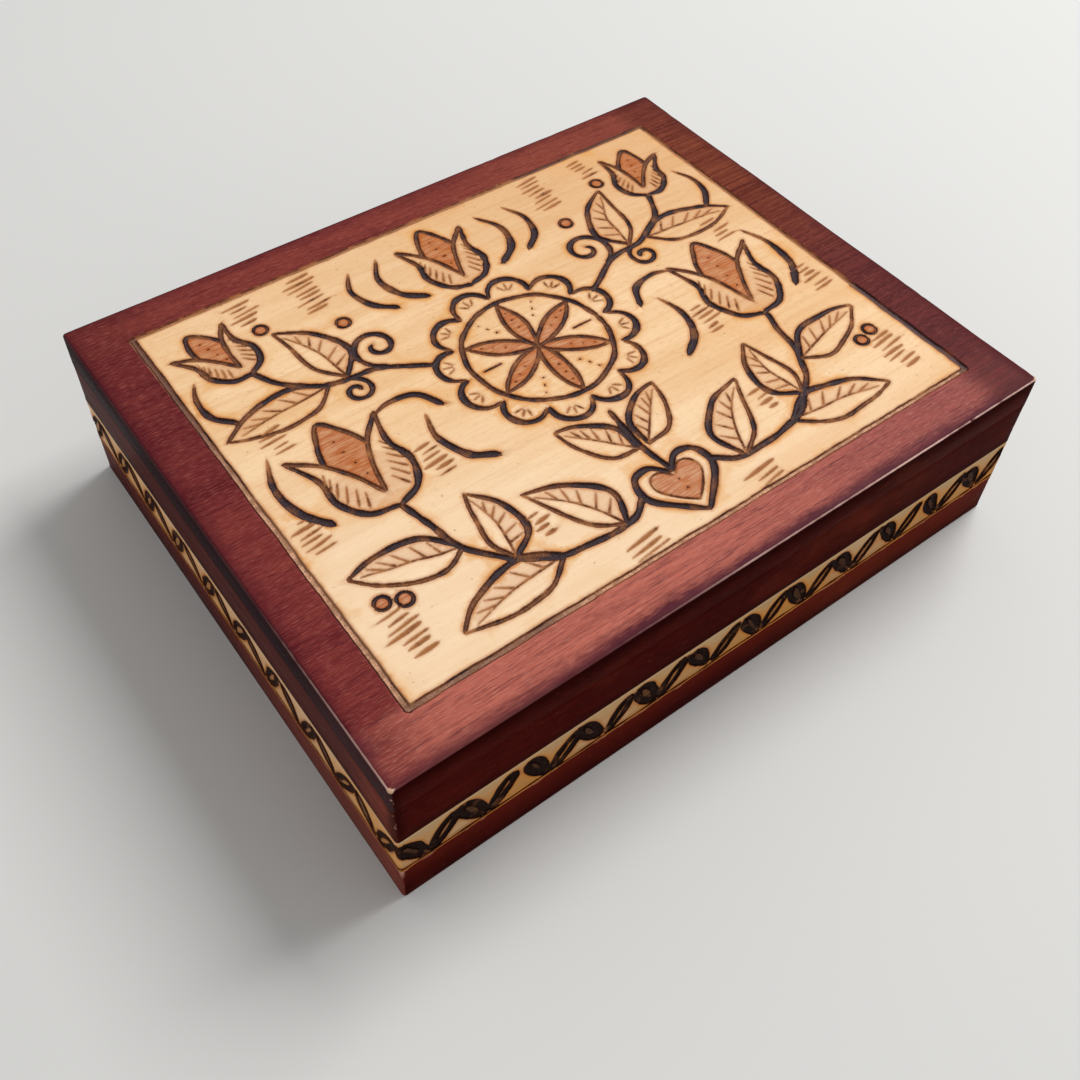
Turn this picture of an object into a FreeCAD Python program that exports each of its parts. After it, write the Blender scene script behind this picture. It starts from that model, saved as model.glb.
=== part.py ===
"""A hinged wooden keepsake box: a mitred tray, a mitred lid with a glued top board, two brass hinges.

Millimetres. X runs along the box, the lid opens at the front, which faces -Y, and Z is up.
The origin is the middle of the underside.
"""

import FreeCAD, Part
import math
import os
import re
import Sketcher

SHEET = "Sizes"
KNUCKLES = 5
BASE_KNUCKLES = (0, 2, 4)
LID_KNUCKLES = (1, 3)

SIZES = {
    # Outside of the box
    "box_length": 160.0,
    "box_width": 128.5,
    "base_height": 22.5,
    "lid_rim_height": 12.0,
    "top_board_thickness": 7.5,
    "wall_thickness": 8.0,
    "corner_radius": 0.8,
    "arris": 0.4,
    "top_arris": 0.45,
    # Scribed line under the band of natural wood round the tray
    "band_height": 10.8,
    "scribe_width": 0.8,
    "scribe_depth": 0.35,
    # Burnt line between the stained border and the panel of the lid
    "border_width": 10.0,
    "border_line_width": 1.2,
    "border_line_depth": 0.5,
    # Floor panel, loose in the grooves of the walls
    "floor_thickness": 4.0,
    "floor_rise": 2.5,
    "floor_groove_depth": 3.5,
    "floor_clearance": 0.15,
    # Hinges
    "hinge_length": 24.0,
    "hinge_from_end": 30.0,
    "axis_inset": 1.0,
    "leaf_width": 5.6,
    "leaf_thickness": 0.9,
    "leaf_gap": 0.1,
    "mortise_clearance": 0.05,
    "knuckle_clearance": 0.3,
    "knuckle_gap": 0.15,
    "pin_radius": 0.8,
    "pin_clearance": 0.05,
    "pin_overhang": 0.3,
    "pin_ease": 0.2,
    # Bevels behind the axis that stop the open lid
    "stop_degrees": 105.0,
    "stop_spare_degrees": 0.5,
    "stop_relief": 0.05,
    # Countersunk hinge screws
    "screw_spacing": 14.0,
    "screw_setback": 3.8,
    "screw_length": 7.0,
    "screw_point_length": 1.6,
    "screw_head_radius": 1.4,
    "screw_shank_radius": 0.75,
    "screw_clearance": 0.03,
    "slot_width": 0.45,
    "slot_depth": 0.4,
    # How far a cut runs past the face that it starts from
    "cut_overrun": 1.0,
}

# Sizes that follow from the driving ones
DERIVED = {
    "inner_length": "box_length - 2 * wall_thickness",
    "inner_width": "box_width - 2 * wall_thickness",
    "corner_cut": "corner_radius * (1 - cos(45 deg))",
    "scribe_level": "base_height - band_height",
    "panel_inset": "border_width + border_line_width",
    "groove_floor": "wall_thickness - floor_groove_depth",
    "groove_top": "floor_rise + floor_thickness + floor_clearance",
    "panel_spread": "2 * (floor_groove_depth - floor_clearance)",
    "knuckle_radius": "pin_radius + pin_clearance + leaf_thickness",
    "knuckle_room": "knuckle_radius + knuckle_clearance",
    "knuckle_pitch": "(hinge_length + knuckle_gap) / knuckle_count",
    "leaf_face": "leaf_gap / 2",
    "leaf_seat": "leaf_gap / 2 + leaf_thickness",
    "axis_from_middle": "box_width / 2 - axis_inset",
    "hinge_spacing": "box_length - 2 * hinge_from_end",
    "bevel_reach": "axis_inset + stop_relief",
    "bevel_rise": "bevel_reach * tan((stop_degrees + stop_spare_degrees) / 2 * 1 deg)",
    "screw_hole_radius": "screw_shank_radius + screw_clearance",
    "screw_sink_radius": "screw_head_radius + screw_clearance",
    "pin_half": "hinge_length / 2 + pin_overhang",
    "knuckle_count": str(KNUCKLES),
}

doc = FreeCAD.newDocument("keepsake_box")
sheet = doc.addObject("Spreadsheet::Sheet", SHEET)
for row, (alias, number) in enumerate(SIZES.items(), start=1):
    sheet.set(f"A{row}", alias)
    sheet.set(f"B{row}", str(number))
    sheet.setAlias(f"B{row}", alias)
doc.recompute()


def bound(expression):
    """The expression with every named size read from the sheet."""

    def from_sheet(found):
        word = found.group()
        if word in DERIVED:
            return f"({bound(DERIVED[word])})"
        return f"{SHEET}.{word}" if word in SIZES else word

    return re.sub(r"[a-z_]+", from_sheet, expression)


def value(expression):
    """What an expression comes to now, for the first draft of a sketch."""
    return float(sheet.evalExpression(bound(expression)))


def new_body(label):
    body = doc.addObject("PartDesign::Body", label)
    body.Label = label
    return body


def place(body, x, y, z, axis, degrees):
    """Turns a body about its own origin and puts that origin at a point given by expressions."""
    body.Placement = FreeCAD.Placement(FreeCAD.Vector(), FreeCAD.Rotation(axis, degrees))
    for letter, expression in zip("xyz", (x, y, z)):
        body.setExpression(f"Placement.Base.{letter}", bound(expression))


def origin_plane(body, role):
    return next(plane for plane in body.Origin.OriginFeatures if plane.Role == role)


def new_sketch(body, name, role, across="0", along="0", lift="0"):
    """A sketch on one of the body's own origin planes, moved across, along and off that plane."""
    sketch = body.newObject("Sketcher::SketchObject", name)
    sketch.AttachmentSupport = [(origin_plane(body, role), "")]
    sketch.MapMode = "FlatFace"
    for letter, expression in zip("xyz", (across, along, lift)):
        sketch.setExpression(f"AttachmentOffset.Base.{letter}", bound(expression))
    return sketch


def pin(sketch, edge, end, x, y):
    """Holds one end of an edge at a point given by expressions."""
    for kind, expression in (("DistanceX", x), ("DistanceY", y)):
        made = sketch.addConstraint(Sketcher.Constraint(kind, edge, end, value(expression)))
        sketch.setExpression(f"Constraints[{made}]", bound(expression))


def first_draft(start, stop, arc):
    """A straight edge, or an arc that runs anticlockwise about a centre given by expressions."""
    if arc is None:
        return Part.LineSegment(start, stop)
    radius, centre_x, centre_y = arc
    centre = FreeCAD.Vector(value(centre_x), value(centre_y), 0)
    circle = Part.Circle(centre, FreeCAD.Vector(0, 0, 1), value(radius))
    first = math.atan2(start.y - centre.y, start.x - centre.x)
    last = math.atan2(stop.y - centre.y, stop.x - centre.x)
    return Part.ArcOfCircle(circle, first, last if last > first else last + 2 * math.pi)


def outline(sketch, corners, arcs={}):
    """Draws a closed outline through corners given by expressions.

    arcs maps the number of a corner to the radius and centre of the arc that leaves it.
    """
    points = [FreeCAD.Vector(value(x), value(y), 0) for x, y in corners]
    base = sketch.GeometryCount
    for number, start in enumerate(points):
        stop = points[(number + 1) % len(points)]
        sketch.addGeometry(first_draft(start, stop, arcs.get(number)), False)
    for number in range(len(points)):
        following = (number + 1) % len(points)
        sketch.addConstraint(Sketcher.Constraint("Coincident", base + number, 2, base + following, 1))
    for number, (x, y) in enumerate(corners):
        pin(sketch, base + number, 1, x, y)
    for number, (radius, _, _) in arcs.items():
        made = sketch.addConstraint(Sketcher.Constraint("Radius", base + number, value(radius)))
        sketch.setExpression(f"Constraints[{made}]", bound(radius))


def rectangle(sketch, left, right, low, high):
    outline(sketch, [(left, low), (right, low), (right, high), (left, high)])


def circle(sketch, radius, x="0", y="0"):
    """Draws a full circle about a point given by expressions."""
    centre = FreeCAD.Vector(value(x), value(y), 0)
    drawn = sketch.addGeometry(Part.Circle(centre, FreeCAD.Vector(0, 0, 1), value(radius)), False)
    made = sketch.addConstraint(Sketcher.Constraint("Radius", drawn, value(radius)))
    sketch.setExpression(f"Constraints[{made}]", bound(radius))
    pin(sketch, drawn, 3, x, y)


def feature(body, kind, sketch, length=None, symmetric=True):
    """A pad or pocket of a sketch. Without a length it runs right through."""
    made = body.newObject(f"PartDesign::{kind}", f"{sketch.Name}_{kind.lower()}")
    made.Profile = sketch
    made.SideType = "Symmetric" if symmetric else "One side"
    if length is None:
        made.Type = "ThroughAll"
    else:
        made.setExpression("Length", bound(length))
    return made


def turned(body, kind, sketch, axis):
    """A revolution or groove of a half section about one of its sketch's axes."""
    made = body.newObject(f"PartDesign::{kind}", f"{sketch.Name}_{kind.lower()}")
    made.Profile = sketch
    made.ReferenceAxis = (sketch, [axis])
    return made


def mirrored(body, originals):
    """Repeats features on the other side of the body's YZ plane."""
    made = body.newObject("PartDesign::Mirrored", f"{body.Label}_mirrored")
    made.Originals = originals
    made.MirrorPlane = (origin_plane(body, "YZ_Plane"), [""])
    body.Tip = made


def mitre(body, length):
    """Cuts one end at 45 degrees and rounds the outer corner."""
    half = f"({length}) / 2"
    sketch = new_sketch(body, f"{body.Label}_mitre", "XY_Plane")
    corners = [
        (f"{half} - corner_cut", "corner_cut"),
        (f"{half} - wall_thickness - cut_overrun", "wall_thickness + cut_overrun"),
        (f"{half} + cut_overrun", "wall_thickness + cut_overrun"),
        (f"{half} + cut_overrun", "-cut_overrun"),
        (f"{half} - corner_radius", "-cut_overrun"),
        (f"{half} - corner_radius", "0"),
    ]
    outline(sketch, corners, {5: ("corner_radius", f"{half} - corner_radius", "corner_radius")})
    return feature(body, "Pocket", sketch)


def hinge_seat(body, level):
    """Cuts what one hinge needs in an edge at this level: mortise, room for the barrel, pilot holes."""
    across = "hinge_spacing / 2"
    bed = new_sketch(body, f"{body.Label}_mortise", "XY_Plane", across, "axis_inset", level)
    reach = "hinge_length / 2 + mortise_clearance"
    rectangle(bed, f"-({reach})", reach, "-axis_inset - cut_overrun", "leaf_width + mortise_clearance")
    barrel = new_sketch(body, f"{body.Label}_barrel", "YZ_Plane", "axis_inset", level, across)
    circle(barrel, "knuckle_room")
    pilots = new_sketch(body, f"{body.Label}_pilots", "XY_Plane", across, "axis_inset", level)
    for side in ("-", ""):
        circle(pilots, "screw_hole_radius", f"{side}screw_spacing / 2", "screw_setback")
    return [
        feature(body, "Pocket", bed, "2 * leaf_seat"),
        feature(body, "Pocket", barrel, "2 * (pin_half + knuckle_clearance)"),
        feature(body, "Pocket", pilots, "2 * (leaf_face + screw_length + screw_clearance)"),
    ]


def base_section(hinged):
    """Section of a tray wall, from its outer bottom edge inwards, then up and back to the outside."""
    inset, drop = ("bevel_reach", "bevel_rise") if hinged else ("arris", "arris")
    return [
        ("arris", "0"),
        ("wall_thickness", "0"),
        ("wall_thickness", "floor_rise"),
        ("groove_floor", "floor_rise"),
        ("groove_floor", "groove_top"),
        ("wall_thickness", "groove_top"),
        ("wall_thickness", "base_height"),
        (inset, "base_height"),
        ("0", f"base_height - {drop}"),
        ("0", "scribe_level + scribe_width / 2"),
        ("scribe_depth", "scribe_level"),
        ("0", "scribe_level - scribe_width / 2"),
        ("0", "arris"),
    ]


def rim_section(hinged):
    """Section of a lid rail, whose lower outer edge is eased, or bevelled where the lid is hinged."""
    inset, rise = ("bevel_reach", "bevel_rise") if hinged else ("arris", "arris")
    return [
        (inset, "0"),
        ("wall_thickness", "0"),
        ("wall_thickness", "lid_rim_height"),
        ("0", "lid_rim_height"),
        ("0", rise),
    ]


def stop_bevel(body, length, edge, into, end):
    """Carries the bevel of the hinged side across the end of a neighbouring side."""
    half = f"({length}) / 2"
    out = "-" if into == "+" else "+"
    sketch = new_sketch(body, f"{body.Label}_bevel", "XZ_Plane")
    corners = [
        (f"{end}({half} - bevel_reach)", edge),
        (f"{end}({half})", f"{edge} {into} bevel_rise"),
        (f"{end}({half} + cut_overrun)", f"{edge} {into} bevel_rise"),
        (f"{end}({half} + cut_overrun)", f"{edge} {out} cut_overrun"),
        (f"{end}({half} - bevel_reach)", f"{edge} {out} cut_overrun"),
    ]
    outline(sketch, corners)
    feature(body, "Pocket", sketch)


def frame_side(label, side, section, level, edge, into):
    """One mitred side of a frame, with its outer face on y = 0 and its inside towards +Y.

    edge is the height on the side where lid and tray meet, and into the way from there into the wood.
    """
    length, x, y, degrees = {
        "front": ("box_length", "0", "-box_width / 2", 0),
        "right": ("box_width", "box_length / 2", "0", 90),
        "back": ("box_length", "0", "box_width / 2", 180),
        "left": ("box_width", "-box_length / 2", "0", -90),
    }[side]
    body = new_body(label)
    profile = new_sketch(body, f"{label}_section", "YZ_Plane")
    outline(profile, section)
    feature(body, "Pad", profile, length)
    if side in ("left", "right"):
        stop_bevel(body, length, edge, into, "-" if side == "left" else "")
    cuts = [mitre(body, length)]
    if side == "back":
        cuts += hinge_seat(body, edge)
    mirrored(body, cuts)
    place(body, x, y, level, FreeCAD.Vector(0, 0, 1), degrees)
    return body


def top_board():
    """The lid's top board, with rounded corners, an eased upper edge and the line round the panel."""
    body = new_body("lid_top_board")
    plan = new_sketch(body, "board_plan", "XY_Plane")
    rectangle(plan, "-box_length / 2", "box_length / 2", "-box_width / 2", "box_width / 2")
    blank = feature(body, "Pad", plan, "top_board_thickness", symmetric=False)
    doc.recompute()
    uprights = [
        f"Edge{number}"
        for number, edge in enumerate(blank.Shape.Edges, start=1)
        if edge.BoundBox.ZLength > edge.BoundBox.XLength + edge.BoundBox.YLength
    ]
    corners = body.newObject("PartDesign::Fillet", "board_corners")
    corners.Base = (blank, uprights)
    corners.setExpression("Radius", bound("corner_radius"))
    doc.recompute()
    rim = [
        f"Edge{number}"
        for number, edge in enumerate(corners.Shape.Edges, start=1)
        if edge.BoundBox.ZMin > value("top_board_thickness / 2")
    ]
    eased = body.newObject("PartDesign::Fillet", "board_upper_edge")
    eased.Base = (corners, rim)
    eased.setExpression("Radius", bound("top_arris"))
    line = new_sketch(body, "border_line", "XY_Plane", lift="top_board_thickness")
    for inset in ("border_width", "panel_inset"):
        half_x = f"(box_length / 2 - {inset})"
        half_y = f"(box_width / 2 - {inset})"
        rectangle(line, f"-{half_x}", half_x, f"-{half_y}", half_y)
    feature(body, "Pocket", line, "border_line_depth", symmetric=False)
    place(body, "0", "0", "base_height + lid_rim_height", FreeCAD.Vector(0, 0, 1), 0)
    return body


def floor_panel():
    """The tray's floor, which lies in the grooves of the four walls."""
    body = new_body("base_floor")
    plan = new_sketch(body, "floor_plan", "XY_Plane")
    half_x = "(inner_length + panel_spread) / 2"
    half_y = "(inner_width + panel_spread) / 2"
    rectangle(plan, f"-{half_x}", half_x, f"-{half_y}", half_y)
    feature(body, "Pad", plan, "floor_thickness", symmetric=False)
    place(body, "0", "0", "floor_rise", FreeCAD.Vector(0, 0, 1), 0)
    return body


def at_hinge(body, x, for_lid):
    """Puts a hinge piece, drawn below the axis for the tray, on the axis, or above it for the lid."""
    place(body, x, "axis_from_middle", "base_height", FreeCAD.Vector(0, 1, 0), 180 if for_lid else 0)


def hinge_leaf(label, x, own_knuckles, for_lid):
    """A leaf rolled round the pin, with notches for the other leaf's knuckles and countersunk holes."""
    body = new_body(label)
    roll = new_sketch(body, f"{label}_roll", "YZ_Plane")
    root = "-sqrt(knuckle_radius^2 - leaf_seat^2)"
    lip = "-sqrt(knuckle_radius^2 - leaf_face^2)"
    corners = [
        ("-leaf_width", "-leaf_seat"),
        (root, "-leaf_seat"),
        (lip, "-leaf_face"),
        ("-leaf_width", "-leaf_face"),
    ]
    outline(roll, corners, {1: ("knuckle_radius", "0", "0")})
    circle(roll, "pin_radius + pin_clearance")
    feature(body, "Pad", roll, "hinge_length")
    notches = new_sketch(body, f"{label}_notches", "XY_Plane")
    for number in range(KNUCKLES):
        if number not in own_knuckles:
            start = f"{number} * knuckle_pitch - hinge_length / 2 - knuckle_gap"
            stop = f"{number + 1} * knuckle_pitch - hinge_length / 2"
            rectangle(notches, start, stop, "-knuckle_room", "knuckle_radius + cut_overrun")
    feature(body, "Pocket", notches)
    sink = new_sketch(body, f"{label}_sink", "YZ_Plane", "-screw_setback", "0", "screw_spacing / 2")
    outline(
        sink,
        [
            ("0", "-leaf_seat - cut_overrun"),
            ("screw_hole_radius", "-leaf_seat - cut_overrun"),
            ("screw_hole_radius", "-leaf_seat"),
            ("screw_sink_radius", "-leaf_face"),
            ("screw_sink_radius", "cut_overrun"),
            ("0", "cut_overrun"),
        ],
    )
    mirrored(body, [turned(body, "Groove", sink, "V_Axis")])
    at_hinge(body, x, for_lid)
    return body


def hinge_pin(label, x):
    """A pin with eased ends, a little longer than the barrel."""
    body = new_body(label)
    half = new_sketch(body, f"{label}_half", "XY_Plane")
    outline(
        half,
        [
            ("-pin_half", "0"),
            ("pin_half", "0"),
            ("pin_half", "pin_radius - pin_ease"),
            ("pin_half - pin_ease", "pin_radius"),
            ("pin_ease - pin_half", "pin_radius"),
            ("-pin_half", "pin_radius - pin_ease"),
        ],
    )
    turned(body, "Revolution", half, "H_Axis")
    at_hinge(body, x, False)
    return body


def hinge_screws(label, for_lid):
    """The screws of both hinges on one side of the joint, as a group of separate solids."""
    body = new_body(label)
    body.AllowCompound = True
    originals = []
    for name, side in (("outer", "+"), ("inner", "-")):
        x = f"hinge_spacing / 2 {side} screw_spacing / 2"
        half = new_sketch(body, f"{label}_{name}", "YZ_Plane", "-screw_setback", "0", x)
        outline(
            half,
            [
                ("0", "-leaf_face - screw_length"),
                ("screw_shank_radius", "screw_point_length - leaf_face - screw_length"),
                ("screw_shank_radius", "-leaf_seat"),
                ("screw_head_radius", "-leaf_face"),
                ("0", "-leaf_face"),
            ],
        )
        originals.append(turned(body, "Revolution", half, "V_Axis"))
        slot = new_sketch(body, f"{label}_{name}_slot", "XY_Plane", x, "-screw_setback", "-leaf_face")
        rectangle(slot, "-screw_sink_radius", "screw_sink_radius", "-slot_width / 2", "slot_width / 2")
        originals.append(feature(body, "Pocket", slot, "2 * slot_depth"))
    mirrored(body, originals)
    at_hinge(body, "0", for_lid)
    return body


pieces = [top_board(), floor_panel()]
for side in ("front", "back", "left", "right"):
    hinged = side == "back"
    wall = frame_side(f"base_{side}_wall", side, base_section(hinged), "0", "base_height", "-")
    rail = frame_side(f"lid_{side}_rail", side, rim_section(hinged), "base_height", "0", "+")
    pieces += [wall, rail]
for side, x in (("left", "-hinge_spacing / 2"), ("right", "hinge_spacing / 2")):
    pieces.append(hinge_leaf(f"base_hinge_leaf_{side}", x, BASE_KNUCKLES, for_lid=False))
    pieces.append(hinge_leaf(f"lid_hinge_leaf_{side}", x, LID_KNUCKLES, for_lid=True))
    pieces.append(hinge_pin(f"hinge_pin_{side}", x))
pieces.append(hinge_screws("base_hinge_screws", for_lid=False))
pieces.append(hinge_screws("lid_hinge_screws", for_lid=True))
doc.recompute()

failed = [item.Label for item in doc.Objects if "Invalid" in item.State or "Error" in item.State]
failed += [piece.Label for piece in pieces if piece.Shape.isNull() or not piece.Shape.isValid()]
if failed:
    raise RuntimeError(f"these objects failed: {failed}")

os.makedirs("parts", exist_ok=True)
for piece in pieces:
    piece.Shape.exportStep(os.path.join("parts", f"{piece.Label}.step"))
    print(piece.Label, len(piece.Shape.Solids), round(piece.Shape.Volume, 2))
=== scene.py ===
"""Looks of the hinged keepsake box: stained and natural wood, burnt lines and brass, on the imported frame."""
import math
import random

import bmesh
import bpy
import numpy as np
from mathutils import Matrix, Vector
from mathutils.geometry import delaunay_2d_cdt
from mathutils.kdtree import KDTree


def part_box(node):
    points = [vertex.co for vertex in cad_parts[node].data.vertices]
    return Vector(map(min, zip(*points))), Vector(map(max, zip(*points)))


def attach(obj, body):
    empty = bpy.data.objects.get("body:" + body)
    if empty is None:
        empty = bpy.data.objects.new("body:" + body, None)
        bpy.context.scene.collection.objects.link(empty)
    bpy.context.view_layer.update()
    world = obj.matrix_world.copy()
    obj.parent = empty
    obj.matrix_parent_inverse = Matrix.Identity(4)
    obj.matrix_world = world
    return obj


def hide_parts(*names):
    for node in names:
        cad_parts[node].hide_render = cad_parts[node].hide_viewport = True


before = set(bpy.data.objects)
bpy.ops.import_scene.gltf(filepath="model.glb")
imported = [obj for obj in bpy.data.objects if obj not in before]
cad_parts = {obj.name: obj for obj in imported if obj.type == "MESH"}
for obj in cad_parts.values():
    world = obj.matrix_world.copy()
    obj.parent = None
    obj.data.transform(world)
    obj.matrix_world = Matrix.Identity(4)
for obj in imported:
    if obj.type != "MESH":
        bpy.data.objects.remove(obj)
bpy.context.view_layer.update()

# Millimetres to metres
MM = 0.001


def node_box(node):
    """Lowest and highest corner of a node, in millimetres."""
    return [[value / MM for value in corner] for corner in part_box(node)]


# Sizes of the box, read from the frame
BOARD_LOW, BOARD_HIGH = node_box("lid_top_board")
WALL_LOW, WALL_HIGH = node_box("base_front_wall")
LENGTH = BOARD_HIGH[0] - BOARD_LOW[0]
WIDTH = BOARD_HIGH[1] - BOARD_LOW[1]
LID_TOP = BOARD_HIGH[2]
BOARD_LEVEL = BOARD_LOW[2]
PARTING = WALL_HIGH[2]
WALL = WALL_HIGH[1] - WALL_LOW[1]

# Details that repeat the construction
CORNER_RADIUS = 0.8
TOP_ARRIS = 0.45
ARRIS = 0.4
INNER_ARRIS = 0.4
GLUE_ARRIS = 0.06
BORDER = 10.55
BAND_HEIGHT = 10.8
FLOOR_RISE = 2.5
FLOOR_TOP = 6.65
FLOOR_GROOVE = 3.5
HINGE_PLACES = (-50.0, 50.0)
HINGE_AXIS = (WIDTH / 2 - 1.0, PARTING)
MORTISE = (24.1, 6.65, 0.95)
BARREL_RADIUS = 2.05
BARREL_LENGTH = 25.2
BEVEL_REACH = 1.05
BEVEL_RISE = 1.38

# Burnt lines: their steps and deepest groove, and how far from them a point still takes scorch
STROKE_STEP = 0.25
SPAN_POINTS = 24
DEEPEST = 0.5
FAR = 2.0

# Meshes of the faces: lines looked up for a point, spacing near lines and elsewhere, margin at the rim
NEAREST = 10
SPACING = 0.17
GRID = 2.2
MARGIN = 0.12
MERGE = 1e-5

# Meshes of the edges: steps along the outline, the face and its height, and points round a corner
OUTLINE_STEP = 0.8
STATION_STEP = 1.6
HEIGHT_STEP = 1.2
CORNER_POINTS = 7
ARRIS_POINTS = 5
SHARP_ANGLE = 50
TOOL_SHARP_ANGLE = 30
BARREL_POINTS = 40

# Knocks along the upper edge of the lid
KNOCKS = 22
DEEPEST_KNOCK = 0.1

# Seeds of the random draws
LID_SEED = 11
BAND_SEED = 23
WEAR_SEED = 5


# Lines drawn by hand


def curve(points):
    """A smooth line through the given points."""
    path = np.asarray(points, float)
    path = np.vstack([2 * path[0] - path[1], path, 2 * path[-1] - path[-2]])
    t = np.linspace(0, 1, SPAN_POINTS, endpoint=False)[:, None]
    spans = []
    for a, b, c, d in zip(path[:-3], path[1:-2], path[2:-1], path[3:]):
        bend = (2 * a - 5 * b + 4 * c - d) * t**2 + (3 * b - a - 3 * c + d) * t**3
        spans.append(b + 0.5 * ((c - a) * t + bend))
    return np.vstack(spans + [path[-2:-1]])


def arc(centre, radius, start, stop):
    """Part of a circle between two angles in degrees."""
    count = max(8, int(abs(stop - start) / 6))
    angles = np.radians(np.linspace(start, stop, count))
    return np.column_stack([centre[0] + radius * np.cos(angles), centre[1] + radius * np.sin(angles)])


def polar(centre, radius, degrees):
    """The point at this distance and angle from a centre."""
    turn = math.radians(degrees)
    return (centre[0] + radius * math.cos(turn), centre[1] + radius * math.sin(turn))


def spiral(outer, inner, turns):
    """A volute that winds in from (0, 0), with its eye above."""
    share = np.linspace(0, 1, 60)
    radius = outer + (inner - outer) * share**0.8
    angle = -math.pi / 2 + 2 * math.pi * turns * share
    return np.column_stack([radius * np.cos(angle), outer + radius * np.sin(angle)])


def placed(place, degrees=0.0, scale=1.0, side=1):
    """A function that moves a motif's points to their place, mirrored where side is -1."""
    turn = np.radians(degrees)
    matrix = scale * np.array([[math.cos(turn), math.sin(turn)], [-math.sin(turn), math.cos(turn)]])

    def move(points):
        moved = np.asarray(points, float) @ matrix + np.asarray(place, float)
        return moved * (side, 1)

    return move


def resampled(points, step):
    """Evenly spaced points along a line, and how far along it each one is."""
    points = np.asarray(points, float)
    legs = np.hypot(*np.diff(points, axis=0).T)
    along = np.concatenate([[0.0], np.cumsum(legs)])
    places = np.linspace(0, along[-1], max(2, int(round(along[-1] / step)) + 1))
    return np.column_stack([np.interp(places, along, points[:, axis]) for axis in (0, 1)]), places


def waves(rng, places, longest, shortest):
    """A smooth random wave along a line, about -1 to 1."""
    total = np.zeros(len(places))
    for _ in range(3):
        length = rng.uniform(shortest, longest)
        total += np.sin(2 * math.pi * places / length + rng.uniform(0, 2 * math.pi))
    return total / 2


class Drawing:
    """Burnt lines and tinted areas of one face, in millimetres."""

    def __init__(self, seed):
        self.random = random.Random(seed)
        self.lines = []
        self.tints = []

    def burn(self, points, width=1.2, tone=0.8, swell=0.0, fade=0.0, wobble=0.12, sway=0.1):
        """A line with an unsteady hand: a row of points with a half width and a darkness each."""
        path, places = resampled(points, STROKE_STEP)
        for axis in (0, 1):
            path[:, axis] += wobble * waves(self.random, places, 26, 8)
        share = places / places[-1]
        ends = np.minimum(places, places[-1] - places)
        half = 0.5 * width * np.clip(0.55 + ends / width, 0, 1)
        half *= 1 - swell + swell * np.sin(math.pi * share)
        half *= 1 - 0.75 * fade * share**1.6
        half *= 1 + sway * waves(self.random, places, 10, 2.5)
        shade = np.clip(0.75 + ends / 5.0, 0, 1) + 0.22 * waves(self.random, places, 18, 5) - fade * share**2
        self.lines.append(np.column_stack([path, half, np.clip(tone * shade, 0, 1)]))

    def dot(self, place, width, tone=0.9):
        """A touch of the hot tip."""
        nudge = self.random.uniform(0.15, 0.4)
        self.burn([place, (place[0] + nudge, place[1])], width, tone, wobble=0.0)

    def tint(self, points, strength):
        """An area washed with orange brown."""
        self.tints.append((np.asarray(points, float), strength))


class Field:
    """How far points of a face lie from the edge of the nearest burnt line, and that line's values."""

    def __init__(self, drawing):
        samples = np.vstack(drawing.lines)
        self.halves = samples[:, 2].tolist()
        self.tones = samples[:, 3].tolist()
        self.tints = drawing.tints
        self.tree = KDTree(len(samples))
        for index, sample in enumerate(samples.tolist()):
            self.tree.insert((sample[0], sample[1], 0), index)
        self.tree.balance()

    def at(self, x, y):
        """Gap to the line's edge, the line's half width and its tone."""
        best = (FAR, 0.0, 0.0)
        for _, index, distance in self.tree.find_n((x, y, 0), NEAREST):
            gap = distance - self.halves[index]
            if gap < best[0]:
                best = (gap, self.halves[index], self.tones[index])
        return best

    def tint_at(self, points):
        """Strength of the tint at each point."""
        points = np.asarray(points, float)
        strength = np.zeros(len(points))
        for polygon, level in self.tints:
            inside = np.zeros(len(points), bool)
            for (x0, y0), (x1, y1) in zip(polygon, np.roll(polygon, -1, axis=0)):
                if y0 != y1:
                    crossing = x0 + (points[:, 1] - y0) * (x1 - x0) / (y1 - y0)
                    inside ^= ((y0 > points[:, 1]) != (y1 > points[:, 1])) & (points[:, 0] < crossing)
            strength[inside] = level
        return strength


def groove_depth(gap, half, tone):
    """Depth of a burnt groove with a round bottom."""
    if gap >= 0 or half <= 0:
        return 0.0
    share = min(1.0, -gap / half)
    return min(DEEPEST, 0.75 * half) * (0.55 + 0.45 * tone) * (1 - (1 - share) ** 2)


# The folk design on the lid


def leaf(drawing, move, length, width, bend):
    """A leaf with a heavy upper edge, a midrib and veins."""
    end = (length, bend)
    upper = curve([(0, 0), (0.28 * length, 0.62 * width), (0.7 * length, 0.5 * width + 0.4 * bend), end])
    lower = curve([(0, 0), (0.3 * length, -0.38 * width), (0.7 * length, 0.3 * bend - 0.25 * width), end])
    rib = curve([(0, 0), (0.5 * length, 0.25 * bend + 0.1 * width), (0.88 * length, 0.78 * bend)])
    drawing.burn(move(upper), 1.65, 0.9, swell=0.35, fade=0.35)
    drawing.burn(move(lower), 1.2, 0.62, swell=0.2, fade=0.3)
    drawing.burn(move(rib), 0.6, 0.4, fade=0.5)
    drawing.tint(move(np.vstack([rib, upper[int(0.8 * len(upper))::-1]])), 0.22)
    for share in np.linspace(0.2, 0.72, 5):
        foot = rib[int(share * (len(rib) - 1))]
        tip = upper[int((share + 0.14) * (len(upper) - 1))]
        drawing.burn(move([foot, foot + 0.72 * (tip - foot)]), 0.6, 0.3, fade=0.5, wobble=0.05)


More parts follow.
